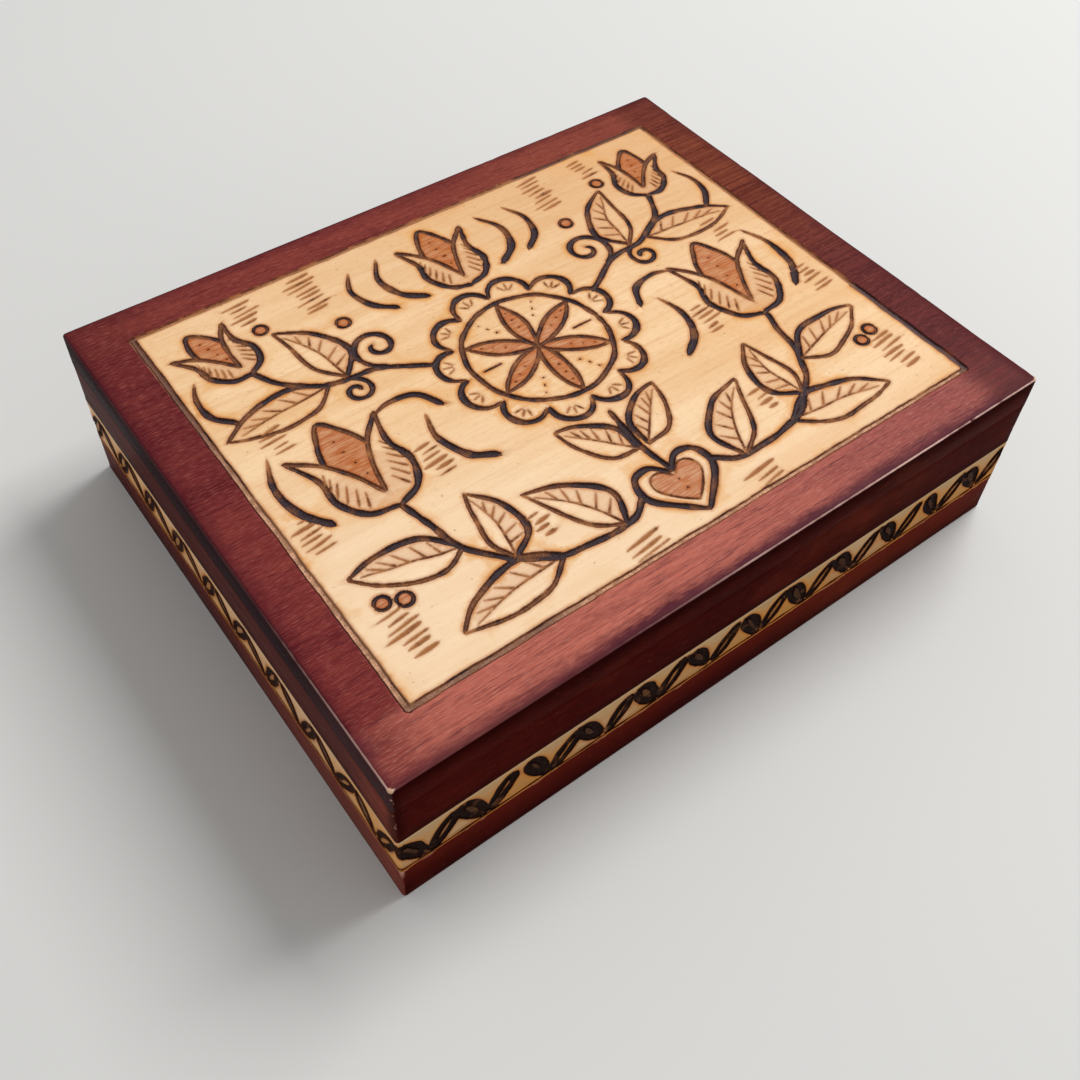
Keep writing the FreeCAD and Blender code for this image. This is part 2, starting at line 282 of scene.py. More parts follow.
def tulip(drawing, move):
    """A tulip that stands on (0, 0): two flared petals, a tinted heart and a row of dots."""
    for side in (1, -1):
        mirror = placed((0, 0), side=side)
        outer = curve(mirror([(0, 0), (4.6, 1.6), (7.3, 6.5), (6.7, 12), (8.8, 18.5)]))
        inner = curve(mirror([(8.8, 18.5), (4.7, 14.6), (2.0, 9.5), (0, 3.6)]))
        drawing.burn(move(outer), 1.7, 0.95, swell=0.25, fade=0.4)
        drawing.burn(move(inner), 1.2, 0.62, fade=0.2)
        drawing.tint(move(np.vstack([outer[: int(0.6 * len(outer))], inner[int(0.5 * len(inner)):]])), 0.25)
        for share in np.linspace(0.24, 0.66, 6):
            foot = outer[int(share * (len(outer) - 1))]
            across = inner[int((1 - share) * (len(inner) - 1))] - foot
            vein = [foot + 0.18 * across, foot + 0.62 * across]
            drawing.burn(move(vein), 0.65, 0.3, fade=0.5, wobble=0.05)
    heart = [(-4.2, 13.6), (-2.9, 17.8), (0, 22), (2.9, 17.8), (4.2, 13.6)]
    drawing.burn(move(curve(heart)), 1.2, 0.7)
    drawing.tint(move(heart + [(2.0, 9.5), (0, 4.2), (-2.0, 9.5)]), 0.9)
    for height in (8.5, 11.5, 14.5, 17.3):
        drawing.dot(move([(0, height)])[0], 0.9)


def rosette(drawing, centre, radius):
    """A six petal rosette in a ring, with tinted petals and a wreath of scallops."""
    for angle in range(30, 390, 60):
        edges = []
        for turn in (1, -1):
            hub = polar(centre, radius, angle + 60 * turn)
            edge = arc(hub, radius, angle + turn * 240, angle + turn * 300)
            drawing.burn(edge, 1.15, 0.62, swell=0.25)
            edges.append(edge)
        drawing.tint(np.vstack([edges[0], edges[1][::-1]]), 0.85)
        for share, width in ((0.62, 1.0), (0.76, 1.2), (0.9, 0.9)):
            drawing.dot(polar(centre, share * radius, angle + 30), width)
        for share in (0.45, 0.62, 0.78):
            drawing.dot(polar(centre, share * radius, angle), 0.8)
    drawing.burn(arc(centre, radius + 0.6, 0, 360), 1.3, 0.75)
    for angle in range(15, 375, 30):
        hub = polar(centre, radius + 2.6, angle)
        drawing.burn(arc(hub, 4.5, angle - 97, angle + 97), 1.75, 1.0, swell=0.25, fade=0.4)
        for turn in (angle - 38, angle, angle + 38):
            ray = [polar(hub, 1.2, turn), polar(hub, 3.0, turn)]
            drawing.burn(ray, 0.6, 0.3, fade=0.4, wobble=0.04)


def heart(drawing, move):
    """A heart that stands on its point at (0, 0), with a second line inside and a tint."""
    half = [(0, 0), (5.0, 4.4), (8.4, 9.2), (7.4, 13.6), (3.6, 14.6), (0.2, 11.4)]
    for side in (1, -1):
        mirror = placed((0, 0), side=side)
        drawing.burn(move(curve(mirror(half))), 1.7, 0.95, swell=0.3)
        inner = 0.66 * np.asarray(mirror(half)) + (0, 2.9)
        drawing.burn(move(curve(inner)), 0.6, 0.45)
    whole = list(half) + [(-x, y) for x, y in half[::-1]]
    drawing.tint(move(0.66 * np.asarray(whole) + (0, 2.9)), 0.85)
    for height in (6.5, 9.0):
        drawing.dot(move([(0, height)])[0], 1.0)


def comma(drawing, points, width):
    """A thick stroke with a blunt start and a thin, paler tail."""
    drawing.burn(curve(points), width, 1.05, swell=0.2, fade=0.75)


# Distance and slope of the strokes in a hatching
HATCH_PITCH = 1.6
HATCH_LEAN = 0.12


def hatch(drawing, place, count, length):
    """A column of short thin strokes along the grain."""
    for number in range(count):
        x = place[0] + drawing.random.uniform(-0.9, 0.9)
        y = place[1] + number * HATCH_PITCH + drawing.random.uniform(-0.2, 0.2)
        reach = 0.5 * length * drawing.random.uniform(0.6, 1.15)
        tone = drawing.random.uniform(0.08, 0.32)
        width = drawing.random.uniform(0.65, 1.15)
        rise = HATCH_LEAN * reach
        drawing.burn([(x + reach, y + rise), (x - reach, y - rise)], width, tone, 0.35, 0.5, 0.1)


# Where the line round the panel changes its strength, and how far the two parts lap
FRONT_CHANGE = -30
RIGHT_CHANGE = -20
BACK_CHANGE = 30
LAP = 2


def border_lines(drawing):
    """The burnt line round the panel, in parts: firm on the left and at the near right, else fainter."""
    right = LENGTH / 2 - BORDER + 0.3
    left = BORDER - LENGTH / 2
    front = BORDER + 0.35 - WIDTH / 2
    back = WIDTH / 2 - BORDER + 0.35
    rows = (
        ((left, front - 0.5), (left + 0.75, back + 0.3), 1.5, 0.66),
        ((left - 0.5, front), (FRONT_CHANGE, front), 1.5, 0.64),
        ((FRONT_CHANGE - LAP, front), (right + 0.3, front), 1.3, 0.5),
        ((right, front - 0.3), (right, RIGHT_CHANGE), 1.65, 0.92),
        ((right, RIGHT_CHANGE - LAP), (right, back + 0.3), 1.2, 0.46),
        ((BACK_CHANGE, back), (right + 0.3, back), 1.2, 0.6),
        ((left - 0.1, back), (BACK_CHANGE + LAP, back), 1.2, 0.4),
    )
    for start, stop, width, tone in rows:
        drawing.burn([start, stop], width, tone, wobble=0.06, sway=0.06)


# Motifs of the right half, in millimetres from the panel's middle
STEMS = (
    ((8.2, -40.5), (15, -44.2), (31, -42.5), (42.5, -32), (47, -16)),
    ((20.5, 11), (31, 17.5), (40, 18.5), (49, 24), (53, 31)),
)

# Place, angle and scale of a tulip
TULIPS = (((47, -16), -6, 1.22), ((53, 31), -20, 0.84))

# Place and angle of a leaf, then its length, width and bend
LEAVES = (
    ((1.2, -31), 40, 17, 8, 2.5),
    ((15, -44.3), 62, 21, 9, -3.0),
    ((36.5, -38.6), 98, 18, 8, -2.0),
    ((29, -42.9), -12, 25, 9, 1.5),
    ((43, -31), 6, 22, 9, 3.5),
    ((42, 19), -14, 24, 9, 3.5),
    ((37.5, 19), 80, 21, 9, -3.0),
)

# Points of a thick stroke and its width
COMMAS = (
    (((10, 30.5), (15, 34.5), (16.5, 41), (13.5, 47.5)), 2.1),
    (((17.5, 31), (22, 35), (23.5, 41), (21, 47)), 1.9),
    (((24.5, -16.5), (29.5, -12.5), (32, -5.5), (30.5, 1)), 2.1),
    (((26, 1.5), (29, 6.5), (34.5, 8), (39.5, 6.5)), 1.9),
    (((59.5, -13), (63.5, -7), (64.5, 1), (62, 8.5)), 2.1),
    (((62, 20), (65.5, 24.5), (66, 30), (64, 35)), 1.8),
)

# Place of a hatching, how many strokes it has and how long they are
HATCHES = (
    ((61.5, -45.5), 7, 7.0),
    ((15.0, -52), 3, 8.0),
    ((31.5, 40.5), 8, 8.0),
    ((35.5, -14), 6, 5.0),
    ((58.5, 8.5), 5, 5.0),
    ((64.0, -17), 6, 5.0),
    ((46.0, 45.0), 5, 6.0),
    ((28.2, -37.5), 4, 3.4),
)

BERRIES = ((58.0, -34.5), (61.8, -33.0), (30.0, 33.5), (45.5, 41.5))


def half_design(drawing, side):
    """Stems, tulips, leaves, scrolls and strokes of one half of the panel."""
    flip = placed((0, 0), side=side)
    for route in STEMS:
        drawing.burn(curve(flip(route)), 1.45, 0.85, wobble=0.2)
    for place, angle, scale in TULIPS:
        tulip(drawing, placed(place, angle, scale, side))
    for place, angle, *sizes in LEAVES:
        leaf(drawing, placed(place, angle, 1, side), *sizes)
    drawing.burn(placed((29, 17), 10, 1, side)(spiral(6.4, 1.1, 1.35)), 1.5, 0.95, swell=0.2)
    drawing.burn(placed((37, 18), -165, 1, side)(spiral(3.8, 0.9, 1.2)), 1.25, 0.9)
    for points, width in COMMAS:
        comma(drawing, flip(points), width)
    for place, count, length in HATCHES:
        hatch(drawing, (place[0] * side, place[1]), count, length)
    for place in BERRIES:
        move = placed(place, side=side)
        drawing.burn(move(arc((0, 0), 1.5, 0, 360)), 0.85, 0.85, wobble=0.05)
        drawing.tint(move(arc((0, 0), 1.4, 0, 330)), 0.9)


def folk_design():
    """Everything burnt into the lid: a rosette, tulips, leaves and scrolls, alike on both sides."""
    drawing = Drawing(LID_SEED)
    border_lines(drawing)
    rosette(drawing, (0, 4), 15.5)
    heart(drawing, placed((0, -50.5)))
    tulip(drawing, placed((0, 28.3)))
    drawing.burn(curve([(0.4, -39), (-0.5, -30), (0.3, -19.5)]), 1.4, 0.95)
    for side in (1, -1):
        half_design(drawing, side)
    return drawing


# The band of petals round the tray

PETAL_LENGTH = 9.2
PETAL_COUNT = 43
FIRST_FOOT = 5.6
FOOT_APART = 0.75
HEADS = np.array([(5.2, 8.3), (6.7, 8.9), (8.6, 8.2)])
SCRIBE_OVERRUN = 12

# Pairs burnt all over and pairs with heads apart, at the right of the front, and thin pairs on the left
SOLID_PETALS = range(5, 12)
SEPARATE_PETALS = range(8, 12)
LEFT_PETALS = range(33, 43)


def side_length(length):
    """Length of one side along its face and half way round both corners."""
    return length - 2 * CORNER_RADIUS + CORNER_RADIUS * math.pi / 2


def petal(drawing, foot, lean, half, bulge, width, scorch):
    """A burnt loop with a pointed foot and its bulge towards the head, scorched inside."""
    turn = np.linspace(math.radians(8), math.radians(352), 48)
    long = 0.5 * PETAL_LENGTH * (1 - np.cos(turn))
    wide = half * np.sin(turn) * np.sin(turn / 2) ** bulge
    angle = math.radians(90 - lean)
    x = foot[0] + long * math.cos(angle) - wide * math.sin(angle)
    z = foot[1] + long * math.sin(angle) + wide * math.cos(angle)
    loop = np.column_stack([x, z])
    drawing.burn(loop, width, drawing.random.uniform(0.95, 1.2), wobble=0.2)
    drawing.tint(loop, scorch)


def petal_band():
    """A zigzag of paired petals right round the tray, and the scribed line under it."""
    drawing = Drawing(BAND_SEED)
    scribe = PARTING - BAND_HEIGHT
    around = 2 * (side_length(LENGTH) + side_length(WIDTH))
    pitch = around / PETAL_COUNT
    for number in range(-1, PETAL_COUNT + 1):
        place = number % PETAL_COUNT
        drawing.random.seed(place)
        draw = drawing.random.uniform
        foot = FIRST_FOOT + pitch * number + draw(-0.5, 0.5)
        scorch = draw(1.3, 1.5) if place in SOLID_PETALS else draw(1.0, 1.35)
        thin = 0.78 if place in LEFT_PETALS else 0.88 if place in SOLID_PETALS else 1.0
        low = (scribe + draw(0.5, 1.0), scribe + draw(0.5, 1.0))
        slim = (foot + FOOT_APART, low[0])
        petal(drawing, slim, draw(30, 35), 1.5, 0.3, thin * draw(1.95, 2.2), 0.35 * scorch)
        broad = (foot - FOOT_APART, low[1])
        petal(drawing, broad, -draw(27, 32), 1.95, 1.0, thin * draw(1.85, 2.1), scorch)
        if draw(0, 1) < (0.15 if place in SEPARATE_PETALS else 0.75):
            drawing.burn(curve(HEADS + (foot, scribe)), draw(1.3, 1.8), 1.0)
    ends = [(-SCRIBE_OVERRUN, scribe), (around + SCRIBE_OVERRUN, scribe)]
    drawing.burn(ends, 0.65, 0.95, wobble=0.1, sway=0.3)
    return drawing


# Meshes


def new_object(name, data):
    """A new object in the scene."""
    made = bpy.data.objects.new(name, data)
    bpy.context.scene.collection.objects.link(made)
    return made


class Builder:
    """Vertices and faces of one piece, in millimetres, with the burnt-line values of each vertex."""

    def __init__(self):
        self.known = {}
        self.points = []
        self.values = {"burn": [], "tone": [], "tint": []}
        self.faces = []
        self.kinds = []

    def vertex(self, point, burn=0.0, tone=0.0, tint=0.0):
        """Index of the vertex at this point, which is made if it is new."""
        key = tuple(round(value, 3) for value in point)
        if key not in self.known:
            self.known[key] = len(self.points)
            self.points.append([float(value) for value in point])
            for name, value in (("burn", burn), ("tone", tone), ("tint", tint)):
                self.values[name].append(float(value))
        return self.known[key]

    def face(self, corners, kind=0):
        """A face of this kind of material, unless its corners have run together."""
        kept = [corner for number, corner in enumerate(corners) if corner != corners[number - 1]]
        if len(set(kept)) == len(kept) and len(kept) >= 3:
            self.faces.append(kept)
            self.kinds.append(kind)

    def strip(self, first, second, kind=0):
        """Faces between two rows of vertices."""
        for number in range(len(first) - 1):
            self.face([first[number], first[number + 1], second[number + 1], second[number]], kind)

    def piece(self, name, body, node, slot, *materials):
        """The finished object, which stands for its node."""
        mesh = bpy.data.meshes.new(name)
        mesh.from_pydata((np.array(self.points) * MM).tolist(), [], self.faces)
        for attribute, values in self.values.items():
            layer = mesh.attributes.new(attribute, "FLOAT", "POINT")
            layer.data.foreach_set("value", values)
        for material in materials:
            mesh.materials.append(material)
        mesh.polygons.foreach_set("material_index", self.kinds)
        soften(mesh, SHARP_ANGLE)
        piece = new_object(name, mesh)
        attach(piece, body)
        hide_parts(node)
        return piece


def soften(mesh, sharp):
    """Turns faces outward and shades them smooth, except across edges sharper than the angle."""
    work = bmesh.new()
    work.from_mesh(mesh)
    bmesh.ops.recalc_face_normals(work, faces=work.faces)
    limit = math.radians(sharp)
    for face in work.faces:
        face.smooth = True
    for edge in work.edges:
        edge.smooth = len(edge.link_faces) == 2 and edge.calc_face_angle(0) < limit
    work.to_mesh(mesh)
    work.free()


def thin_out(points, gap, kept=()):
    """The points that keep at least this gap from those before them."""
    cells = {}
    for x, y in kept:
        cells.setdefault((int(x // gap), int(y // gap)), []).append((x, y))
    result = []
    for x, y in points:
        column, row = int(x // gap), int(y // gap)
        near = (
            other
            for i in (column - 1, column, column + 1)
            for j in (row - 1, row, row + 1)
            for other in cells.get((i, j), ())
        )
        if all((x - ox) ** 2 + (y - oy) ** 2 >= gap * gap for ox, oy in near):
            cells.setdefault((column, row), []).append((x, y))
            result.append((x, y))
    return result


def stroke_points(drawing):
    """Points along every burnt line: its middle, its edges, its slopes and its surroundings."""
    rows = []
    for share, extra in ((0, 0), (1, 0), (0.55, 0), (1, 0.3), (1, 0.9)):
        for side in (1, -1) if share else (1,):
            for line in drawing.lines:
                along = np.gradient(line[:, :2], axis=0)[::2]
                along /= np.maximum(np.hypot(along[:, 0], along[:, 1]), 1e-9)[:, None]
                path = line[::2]
                offset = side * (share * path[:, 2] + extra)
                rows.append(path[:, :2] + np.column_stack([-along[:, 1] * offset, along[:, 0] * offset]))
    return np.vstack(rows)


def patch(builder, drawing, rim, low, high, lift):
    """A face with its burnt lines cut in.

    Rim is its outline, low and high are the corners of its box, and lift gives a point's place in space.
    """
    field = Field(drawing)
    points = stroke_points(drawing)
    inside = ((points > np.array(low) + MARGIN) & (points < np.array(high) - MARGIN)).all(axis=1)
    fine = thin_out(points[inside].tolist(), SPACING, rim)
    across = np.arange(low[0] + GRID / 2, high[0], GRID)
    up = np.arange(low[1] + GRID / 2, high[1], GRID)
    coarse = thin_out([(x, y) for x in across for y in up], GRID / 2, list(rim) + fine)
    flat = [Vector(point) for point in list(rim) + fine + coarse]
    border = [(number, (number + 1) % len(rim)) for number in range(len(rim))]
    made = delaunay_2d_cdt(flat, border, [], 0, MERGE)
    spots = [(vertex.x, vertex.y) for vertex in made[0]]
    tints = field.tint_at(spots)
    edge = {(round(x, 2), round(y, 2)) for x, y in rim}
    corners = []
    for (x, y), tint in zip(spots, tints):
        gap, half, tone = field.at(x, y)
        depth = 0.0 if (round(x, 2), round(y, 2)) in edge else groove_depth(gap, half, tone)
        corners.append(builder.vertex(lift(x, y, depth), FAR - gap, tone, tint))
    for triangle in made[2]:
        builder.face([corners[index] for index in triangle])


def rounded_outline():
    """Points of the lid's outline with their outward directions."""
    points = []
    directions = []
    flat_x = LENGTH / 2 - CORNER_RADIUS
    flat_y = WIDTH / 2 - CORNER_RADIUS
    hubs = ((flat_x, -flat_y, -90), (flat_x, flat_y, 0), (-flat_x, flat_y, 90), (-flat_x, -flat_y, 180))
    for number, (x, y, start) in enumerate(hubs):
        for angle in np.radians(np.linspace(start, start + 90, CORNER_POINTS)):
            points.append((x + CORNER_RADIUS * math.cos(angle), y + CORNER_RADIUS * math.sin(angle)))
            directions.append((math.cos(angle), math.sin(angle)))
        after = hubs[(number + 1) % 4]
        first = np.array(points[-1])
        turn = math.radians(start + 90)
        last = np.array(after[:2]) + CORNER_RADIUS * np.array([math.cos(turn), math.sin(turn)])
        count = int(np.hypot(*(last - first)) / OUTLINE_STEP)
        for share in np.arange(1, count) / count:
            points.append(tuple(first + share * (last - first)))
            directions.append((math.cos(turn), math.sin(turn)))
    return np.array(points), np.array(directions)


def edge_wear(points):
    """How far knocks and handling have dented the edge at each point of the outline."""
    rng = random.Random(WEAR_SEED)
    around = np.concatenate([[0.0], np.cumsum(np.hypot(*np.diff(points, axis=0).T))])
    dents = 0.03 + 0.025 * waves(rng, around, 60, 9)
    for _ in range(KNOCKS):
        middle = rng.uniform(0, around[-1])
        depth = rng.uniform(0.02, 0.07)
        dents += depth * np.exp(-(((around - middle) / rng.uniform(0.5, 1.6)) ** 2))
    return np.clip(dents, 0, DEEPEST_KNOCK)


def top_board(top, side):
    """The lid's top: the burnt face, an eased and knocked edge, the sides and the underside."""
    builder = Builder()
    points, directions = rounded_outline()
    dents = edge_wear(points)
    rows = []
    for angle in np.radians(np.linspace(0, 90, ARRIS_POINTS)):
        dent = dents * math.sin(2 * angle)
        inset = TOP_ARRIS * (1 - math.sin(angle)) + dent
        drop = TOP_ARRIS * (1 - math.cos(angle)) + dent
        rows.append((inset, drop))
    thickness = LID_TOP - BOARD_LEVEL
    for inset, drop in ((0, 0.5 * thickness), (0, thickness - GLUE_ARRIS), (GLUE_ARRIS, thickness)):
        rows.append((np.full(len(points), inset), np.full(len(points), drop)))
    rings = []
    for inset, drop in rows:
        ring = points - directions * np.asarray(inset)[:, None]
        rings.append([builder.vertex((x, y, LID_TOP - down)) for (x, y), down in zip(ring.tolist(), drop)])
    for number, (first, second) in enumerate(zip(rings, rings[1:])):
        builder.strip(first + first[:1], second + second[:1], 0 if number < ARRIS_POINTS - 1 else 1)
    builder.face(rings[-1], 1)
    rim = [tuple(point) for point in (points - directions * TOP_ARRIS).tolist()]
    low = (-LENGTH / 2 + TOP_ARRIS, -WIDTH / 2 + TOP_ARRIS)
    high = (LENGTH / 2 - TOP_ARRIS, WIDTH / 2 - TOP_ARRIS)
    patch(builder, folk_design(), rim, low, high, lambda x, y, depth: (x, y, LID_TOP - depth))
    return builder.piece("lid_top_board_burnt", "lid", "lid_top_board", "stained_linden", top, side)


class FrameSide:
    """One mitred side of the tray or the lid rim, drawn lying along X with its outer face at Y 0."""

    def __init__(self, length, depth, turn, low, high, arrises, grooved):
        self.half = length / 2
        self.depth = depth
        self.turn = Matrix.Rotation(math.radians(turn), 3, "Z")
        self.low = low
        self.high = high
        self.low_arris, self.high_arris = arrises
        self.grooved = grooved
        self.builder = Builder()

    def vertex(self, x, y, z, *values):
        """A vertex in the box's own frame."""
        place = self.turn @ Vector((x, y - self.depth / 2, z))
        return self.builder.vertex(tuple(place), *values)

    def skin(self, u, inset, z):
        """A point at u along the outer face, which bends round the corners, and a little below it."""
        flat = self.half - CORNER_RADIUS
        if abs(u) <= flat:
            return (u, inset, z)
        angle = (abs(u) - flat) / CORNER_RADIUS
        radius = CORNER_RADIUS - inset
        x = flat + radius * math.sin(angle)
        return (math.copysign(x, u), CORNER_RADIUS - radius * math.cos(angle), z)

    def lift(self, u, z, depth):
        """Place in the box's frame of a point of the face."""
        x, y, height = self.skin(u, depth, z)
        return tuple(self.turn @ Vector((x, y - self.depth / 2, height)))

    def stations(self):
        """Where the rows of vertices along the face stand."""
        flat = self.half - CORNER_RADIUS
        bend = CORNER_RADIUS * math.pi / 4
        corner = flat + bend * np.linspace(0.25, 1, 4)
        middle = np.linspace(-flat, flat, int(2 * flat / STATION_STEP))
        return np.concatenate([-corner[::-1], middle, corner])

    def inner_section(self):
        """Inset and height of the edges inside, from the top down."""
        top = [(WALL - INNER_ARRIS, self.high), (WALL, self.high - INNER_ARRIS)]
        if not self.grooved:
            top = [(WALL, self.high)]
        deep = WALL - FLOOR_GROOVE
        groove = [(WALL, FLOOR_TOP), (deep, FLOOR_TOP), (deep, FLOOR_RISE), (WALL, FLOOR_RISE)]
        foot = [(WALL, self.low + INNER_ARRIS), (WALL - INNER_ARRIS, self.low)]
        return top + (groove if self.grooved else []) + foot

    def eased_rows(self, arris, level, inward):
        """Rows of vertices round an outer edge, from the face to the flat."""
        rows = []
        for angle in np.radians((30, 60, 90)):
            inset = arris * (1 - math.cos(angle))
            height = level + inward * arris * (1 - math.sin(angle))
            rows.append([self.vertex(*self.skin(u, inset, height)) for u in self.stations()])
        return rows

    def outer_rows(self, across, bottom, top):
        """Rows of vertices round the outside, with the faces of the eased edges between them."""
        rows = self.eased_rows(self.low_arris, self.low, 1)[::-1]
        rows.append([self.vertex(*self.skin(u, 0, bottom)) for u in across])
        rows.append([self.vertex(*self.skin(u, 0, top)) for u in across])
        rows += self.eased_rows(self.high_arris, self.high, -1)
        middle = len(rows) // 2
        pairs = list(zip(rows, rows[1:]))
        for first, second in pairs[: middle - 1] + pairs[middle:]:
            self.builder.strip(first, second)
        return rows, middle

    def make(self, drawing):
        """All faces of the side."""
        reach = self.half - CORNER_RADIUS + CORNER_RADIUS * math.pi / 4
        bottom = self.low + self.low_arris
        top = self.high - self.high_arris
        across = self.stations().tolist()
        up = np.linspace(bottom, top, max(4, int((top - bottom) / HEIGHT_STEP)))[1:-1].tolist()
        rim = [(u, bottom) for u in across] + [(reach, z) for z in up]
        rim += [(u, top) for u in across[::-1]] + [(-reach, z) for z in up[::-1]]
        patch(self.builder, drawing, rim, (-reach, bottom), (reach, top), self.lift)
        rows, middle = self.outer_rows(across, bottom, top)
        section = self.inner_section()
        inner = [[self.vertex(side * (self.half - y), y, z) for side in (-1, 1)] for y, z in section]
        for first, second in zip(inner, inner[1:]):
            self.builder.strip(first, second)
        self.builder.face(rows[-1] + inner[0][::-1])
        self.builder.face(rows[0] + inner[-1][::-1])
        for end, side in ((0, -1), (-1, 1)):
            column = [row[end] for row in rows[:middle]]
            column += [self.vertex(*self.skin(side * reach, 0, z)) for z in up]
            column += [row[end] for row in rows[middle:]]
            self.builder.face(column + [row[end] for row in inner])
        return self.builder


def part_of(drawing, start, length):
    """The lines of a drawing that fall on one side, measured from that side's middle."""
    middle = start + length / 2
    cut = Drawing(0)
    for line in drawing.lines:
        near = np.abs(line[:, 0] - middle) < length / 2 + 4
        if near.any():
            kept = line[near].copy()
            kept[:, 0] -= middle
            cut.lines.append(kept)
    for polygon, strength in drawing.tints:
        if np.abs(polygon[:, 0] - middle).min() < length / 2:
            cut.tint(polygon - (middle, 0), strength)
    return cut


def blank_drawing():
    """No lines near a face."""
    drawing = Drawing(0)
    drawing.lines.append(np.array([(1000.0, 1000.0, 0.1, 0.0), (1001.0, 1000.0, 0.1, 0.0)]))
    return drawing


SIDES = {"front": 0, "right": 90, "back": 180, "left": 270}


def frame_sides(materials):
    """The four walls of the tray and the four rails of the lid."""
    band = petal_band()
    start = 0.0
    pieces = {}
    for name, turn in SIDES.items():
        length, depth = (LENGTH, WIDTH) if turn % 180 == 0 else (WIDTH, LENGTH)
        wall = FrameSide(length, depth, turn, 0.0, PARTING, (ARRIS, ARRIS), True)
        drawn = wall.make(part_of(band, start, side_length(length)))
        start += side_length(length)
        node = f"base_{name}_wall"
        pieces[node] = drawn.piece(f"{node}_burnt", "base", node, "stained_linden", materials[node])
        rail = FrameSide(length, depth, turn, PARTING, BOARD_LEVEL, (ARRIS, GLUE_ARRIS), False)
        node = f"lid_{name}_rail"
        drawn = rail.make(blank_drawing())
        pieces[node] = drawn.piece(f"{node}_stained", "lid", node, "stained_linden", materials[node])
    return pieces


# Seats of the hinges

# How far the cutters reach past the back and past the parting line
OVERRUN = 1
SEAT_PAST = 0.3
BEVEL_PAST = 0.2


def cutter(name, solids):
    """A mesh of closed solids for cutting, each a list of points of two ends of a prism along X."""
    mesh = bpy.data.meshes.new(name)
    points = []
    faces = []
    for outline, x0, x1 in solids:
        base = len(points)
        count = len(outline)
        points += [(x * MM, y * MM, z * MM) for x in (x0, x1) for y, z in outline]
        faces.append([base + index for index in range(count)][::-1])
        faces.append([base + count + index for index in range(count)])
        for index in range(count):
            after = (index + 1) % count
            faces.append([base + index, base + after, base + count + after, base + count + index])
    mesh.from_pydata(points, [], faces)
    soften(mesh, TOOL_SHARP_ANGLE)
    return new_object(name, mesh)


def cut(piece, tools):
    """Cuts the tools out of a piece for good."""
    for tool in tools:
        modifier = piece.modifiers.new("cut", "BOOLEAN")
        modifier.operation = "DIFFERENCE"
        modifier.solver = "EXACT"
        modifier.object = tool
    bpy.context.view_layer.update()
    graph = bpy.context.evaluated_depsgraph_get()
    mesh = bpy.data.meshes.new_from_object(piece.evaluated_get(graph))
    piece.modifiers.clear()
    old = piece.data
    piece.data = mesh
    bpy.data.meshes.remove(old)


def hinge_tools(way):
    """Cutters for bevel, mortises and barrel grooves, in the lid where way is 1 and in the tray where -1."""
    axis_y, axis_z = HINGE_AXIS
    back = WIDTH / 2
    long, wide, deep = MORTISE
    outside = back + OVERRUN
    slope = BEVEL_RISE / BEVEL_REACH
    angles = np.linspace(0, 2 * math.pi, BARREL_POINTS, endpoint=False)
    barrel = [(axis_y + BARREL_RADIUS * math.cos(a), axis_z + BARREL_RADIUS * math.sin(a)) for a in angles]
    face = axis_z - way * SEAT_PAST
    bottom = axis_z + way * deep
    seat = [(back - wide, face), (outside, face), (outside, bottom), (back - wide, bottom)]
    level = axis_z - way * BEVEL_PAST
    bevel = [
        (back - BEVEL_REACH - BEVEL_PAST / slope, level),
        (outside, level),
        (outside, axis_z + way * (BEVEL_RISE + slope * OVERRUN)),
    ]
    seats = [(seat, x - long / 2, x + long / 2) for x in HINGE_PLACES]
    barrels = [(barrel, x - BARREL_LENGTH / 2, x + BARREL_LENGTH / 2) for x in HINGE_PLACES]
    bevels = [(bevel, -LENGTH, LENGTH)]
    return [cutter("bevel_tool", bevels), cutter("seat_tool", seats), cutter("barrel_tool", barrels)]


def hinge_seats(pieces):
    """Cuts the seats of the hinges and the bevels behind the axis in tray and lid."""
    for body, ending, way in (("base", "wall", -1), ("lid", "rail", 1)):
        tools = hinge_tools(way)
        cut(pieces[f"{body}_back_{ending}"], tools)
        for side in ("left", "right"):
            cut(pieces[f"{body}_{side}_{ending}"], tools[:1])
        for tool in tools:
            mesh = tool.data
            bpy.data.objects.remove(tool)
            bpy.data.meshes.remove(mesh)


# Materials


def srgb(*levels):
    """A colour from its 0 to 255 levels."""
    shares = [level / 255 for level in levels]
    return tuple(((s + 0.055) / 1.055) ** 2.4 if s > 0.04045 else s / 12.92 for s in shares) + (1.0,)


class Value:
    """The output of a node. Sums, products, steps and coats of it make further nodes."""

    def __init__(self, shader, socket):
        self.shader = shader
        self.socket = socket

    def __add__(self, other):
        return self.shader.math("ADD", self, other)

    def __sub__(self, other):
        return self.shader.math("SUBTRACT", self, other)

    def __rsub__(self, other):
        return self.shader.math("SUBTRACT", other, self)

    def __mul__(self, other):
        return self.shader.math("MULTIPLY", self, other)

    def __abs__(self):
        return self.shader.math("ABSOLUTE", self)

    def step(self, *bounds):
        """A smooth step of this value, as in Shader.step."""
        return self.shader.step(self, *bounds)

    def coat(self, share, *colour):
        """This colour with a share of another over it, which is a value or three levels."""
        return self.shader.mix(share, self, colour[0] if len(colour) == 1 else srgb(*colour))


RANGE_INPUTS = ("Value", "From Min", "From Max", "To Min", "To Max")


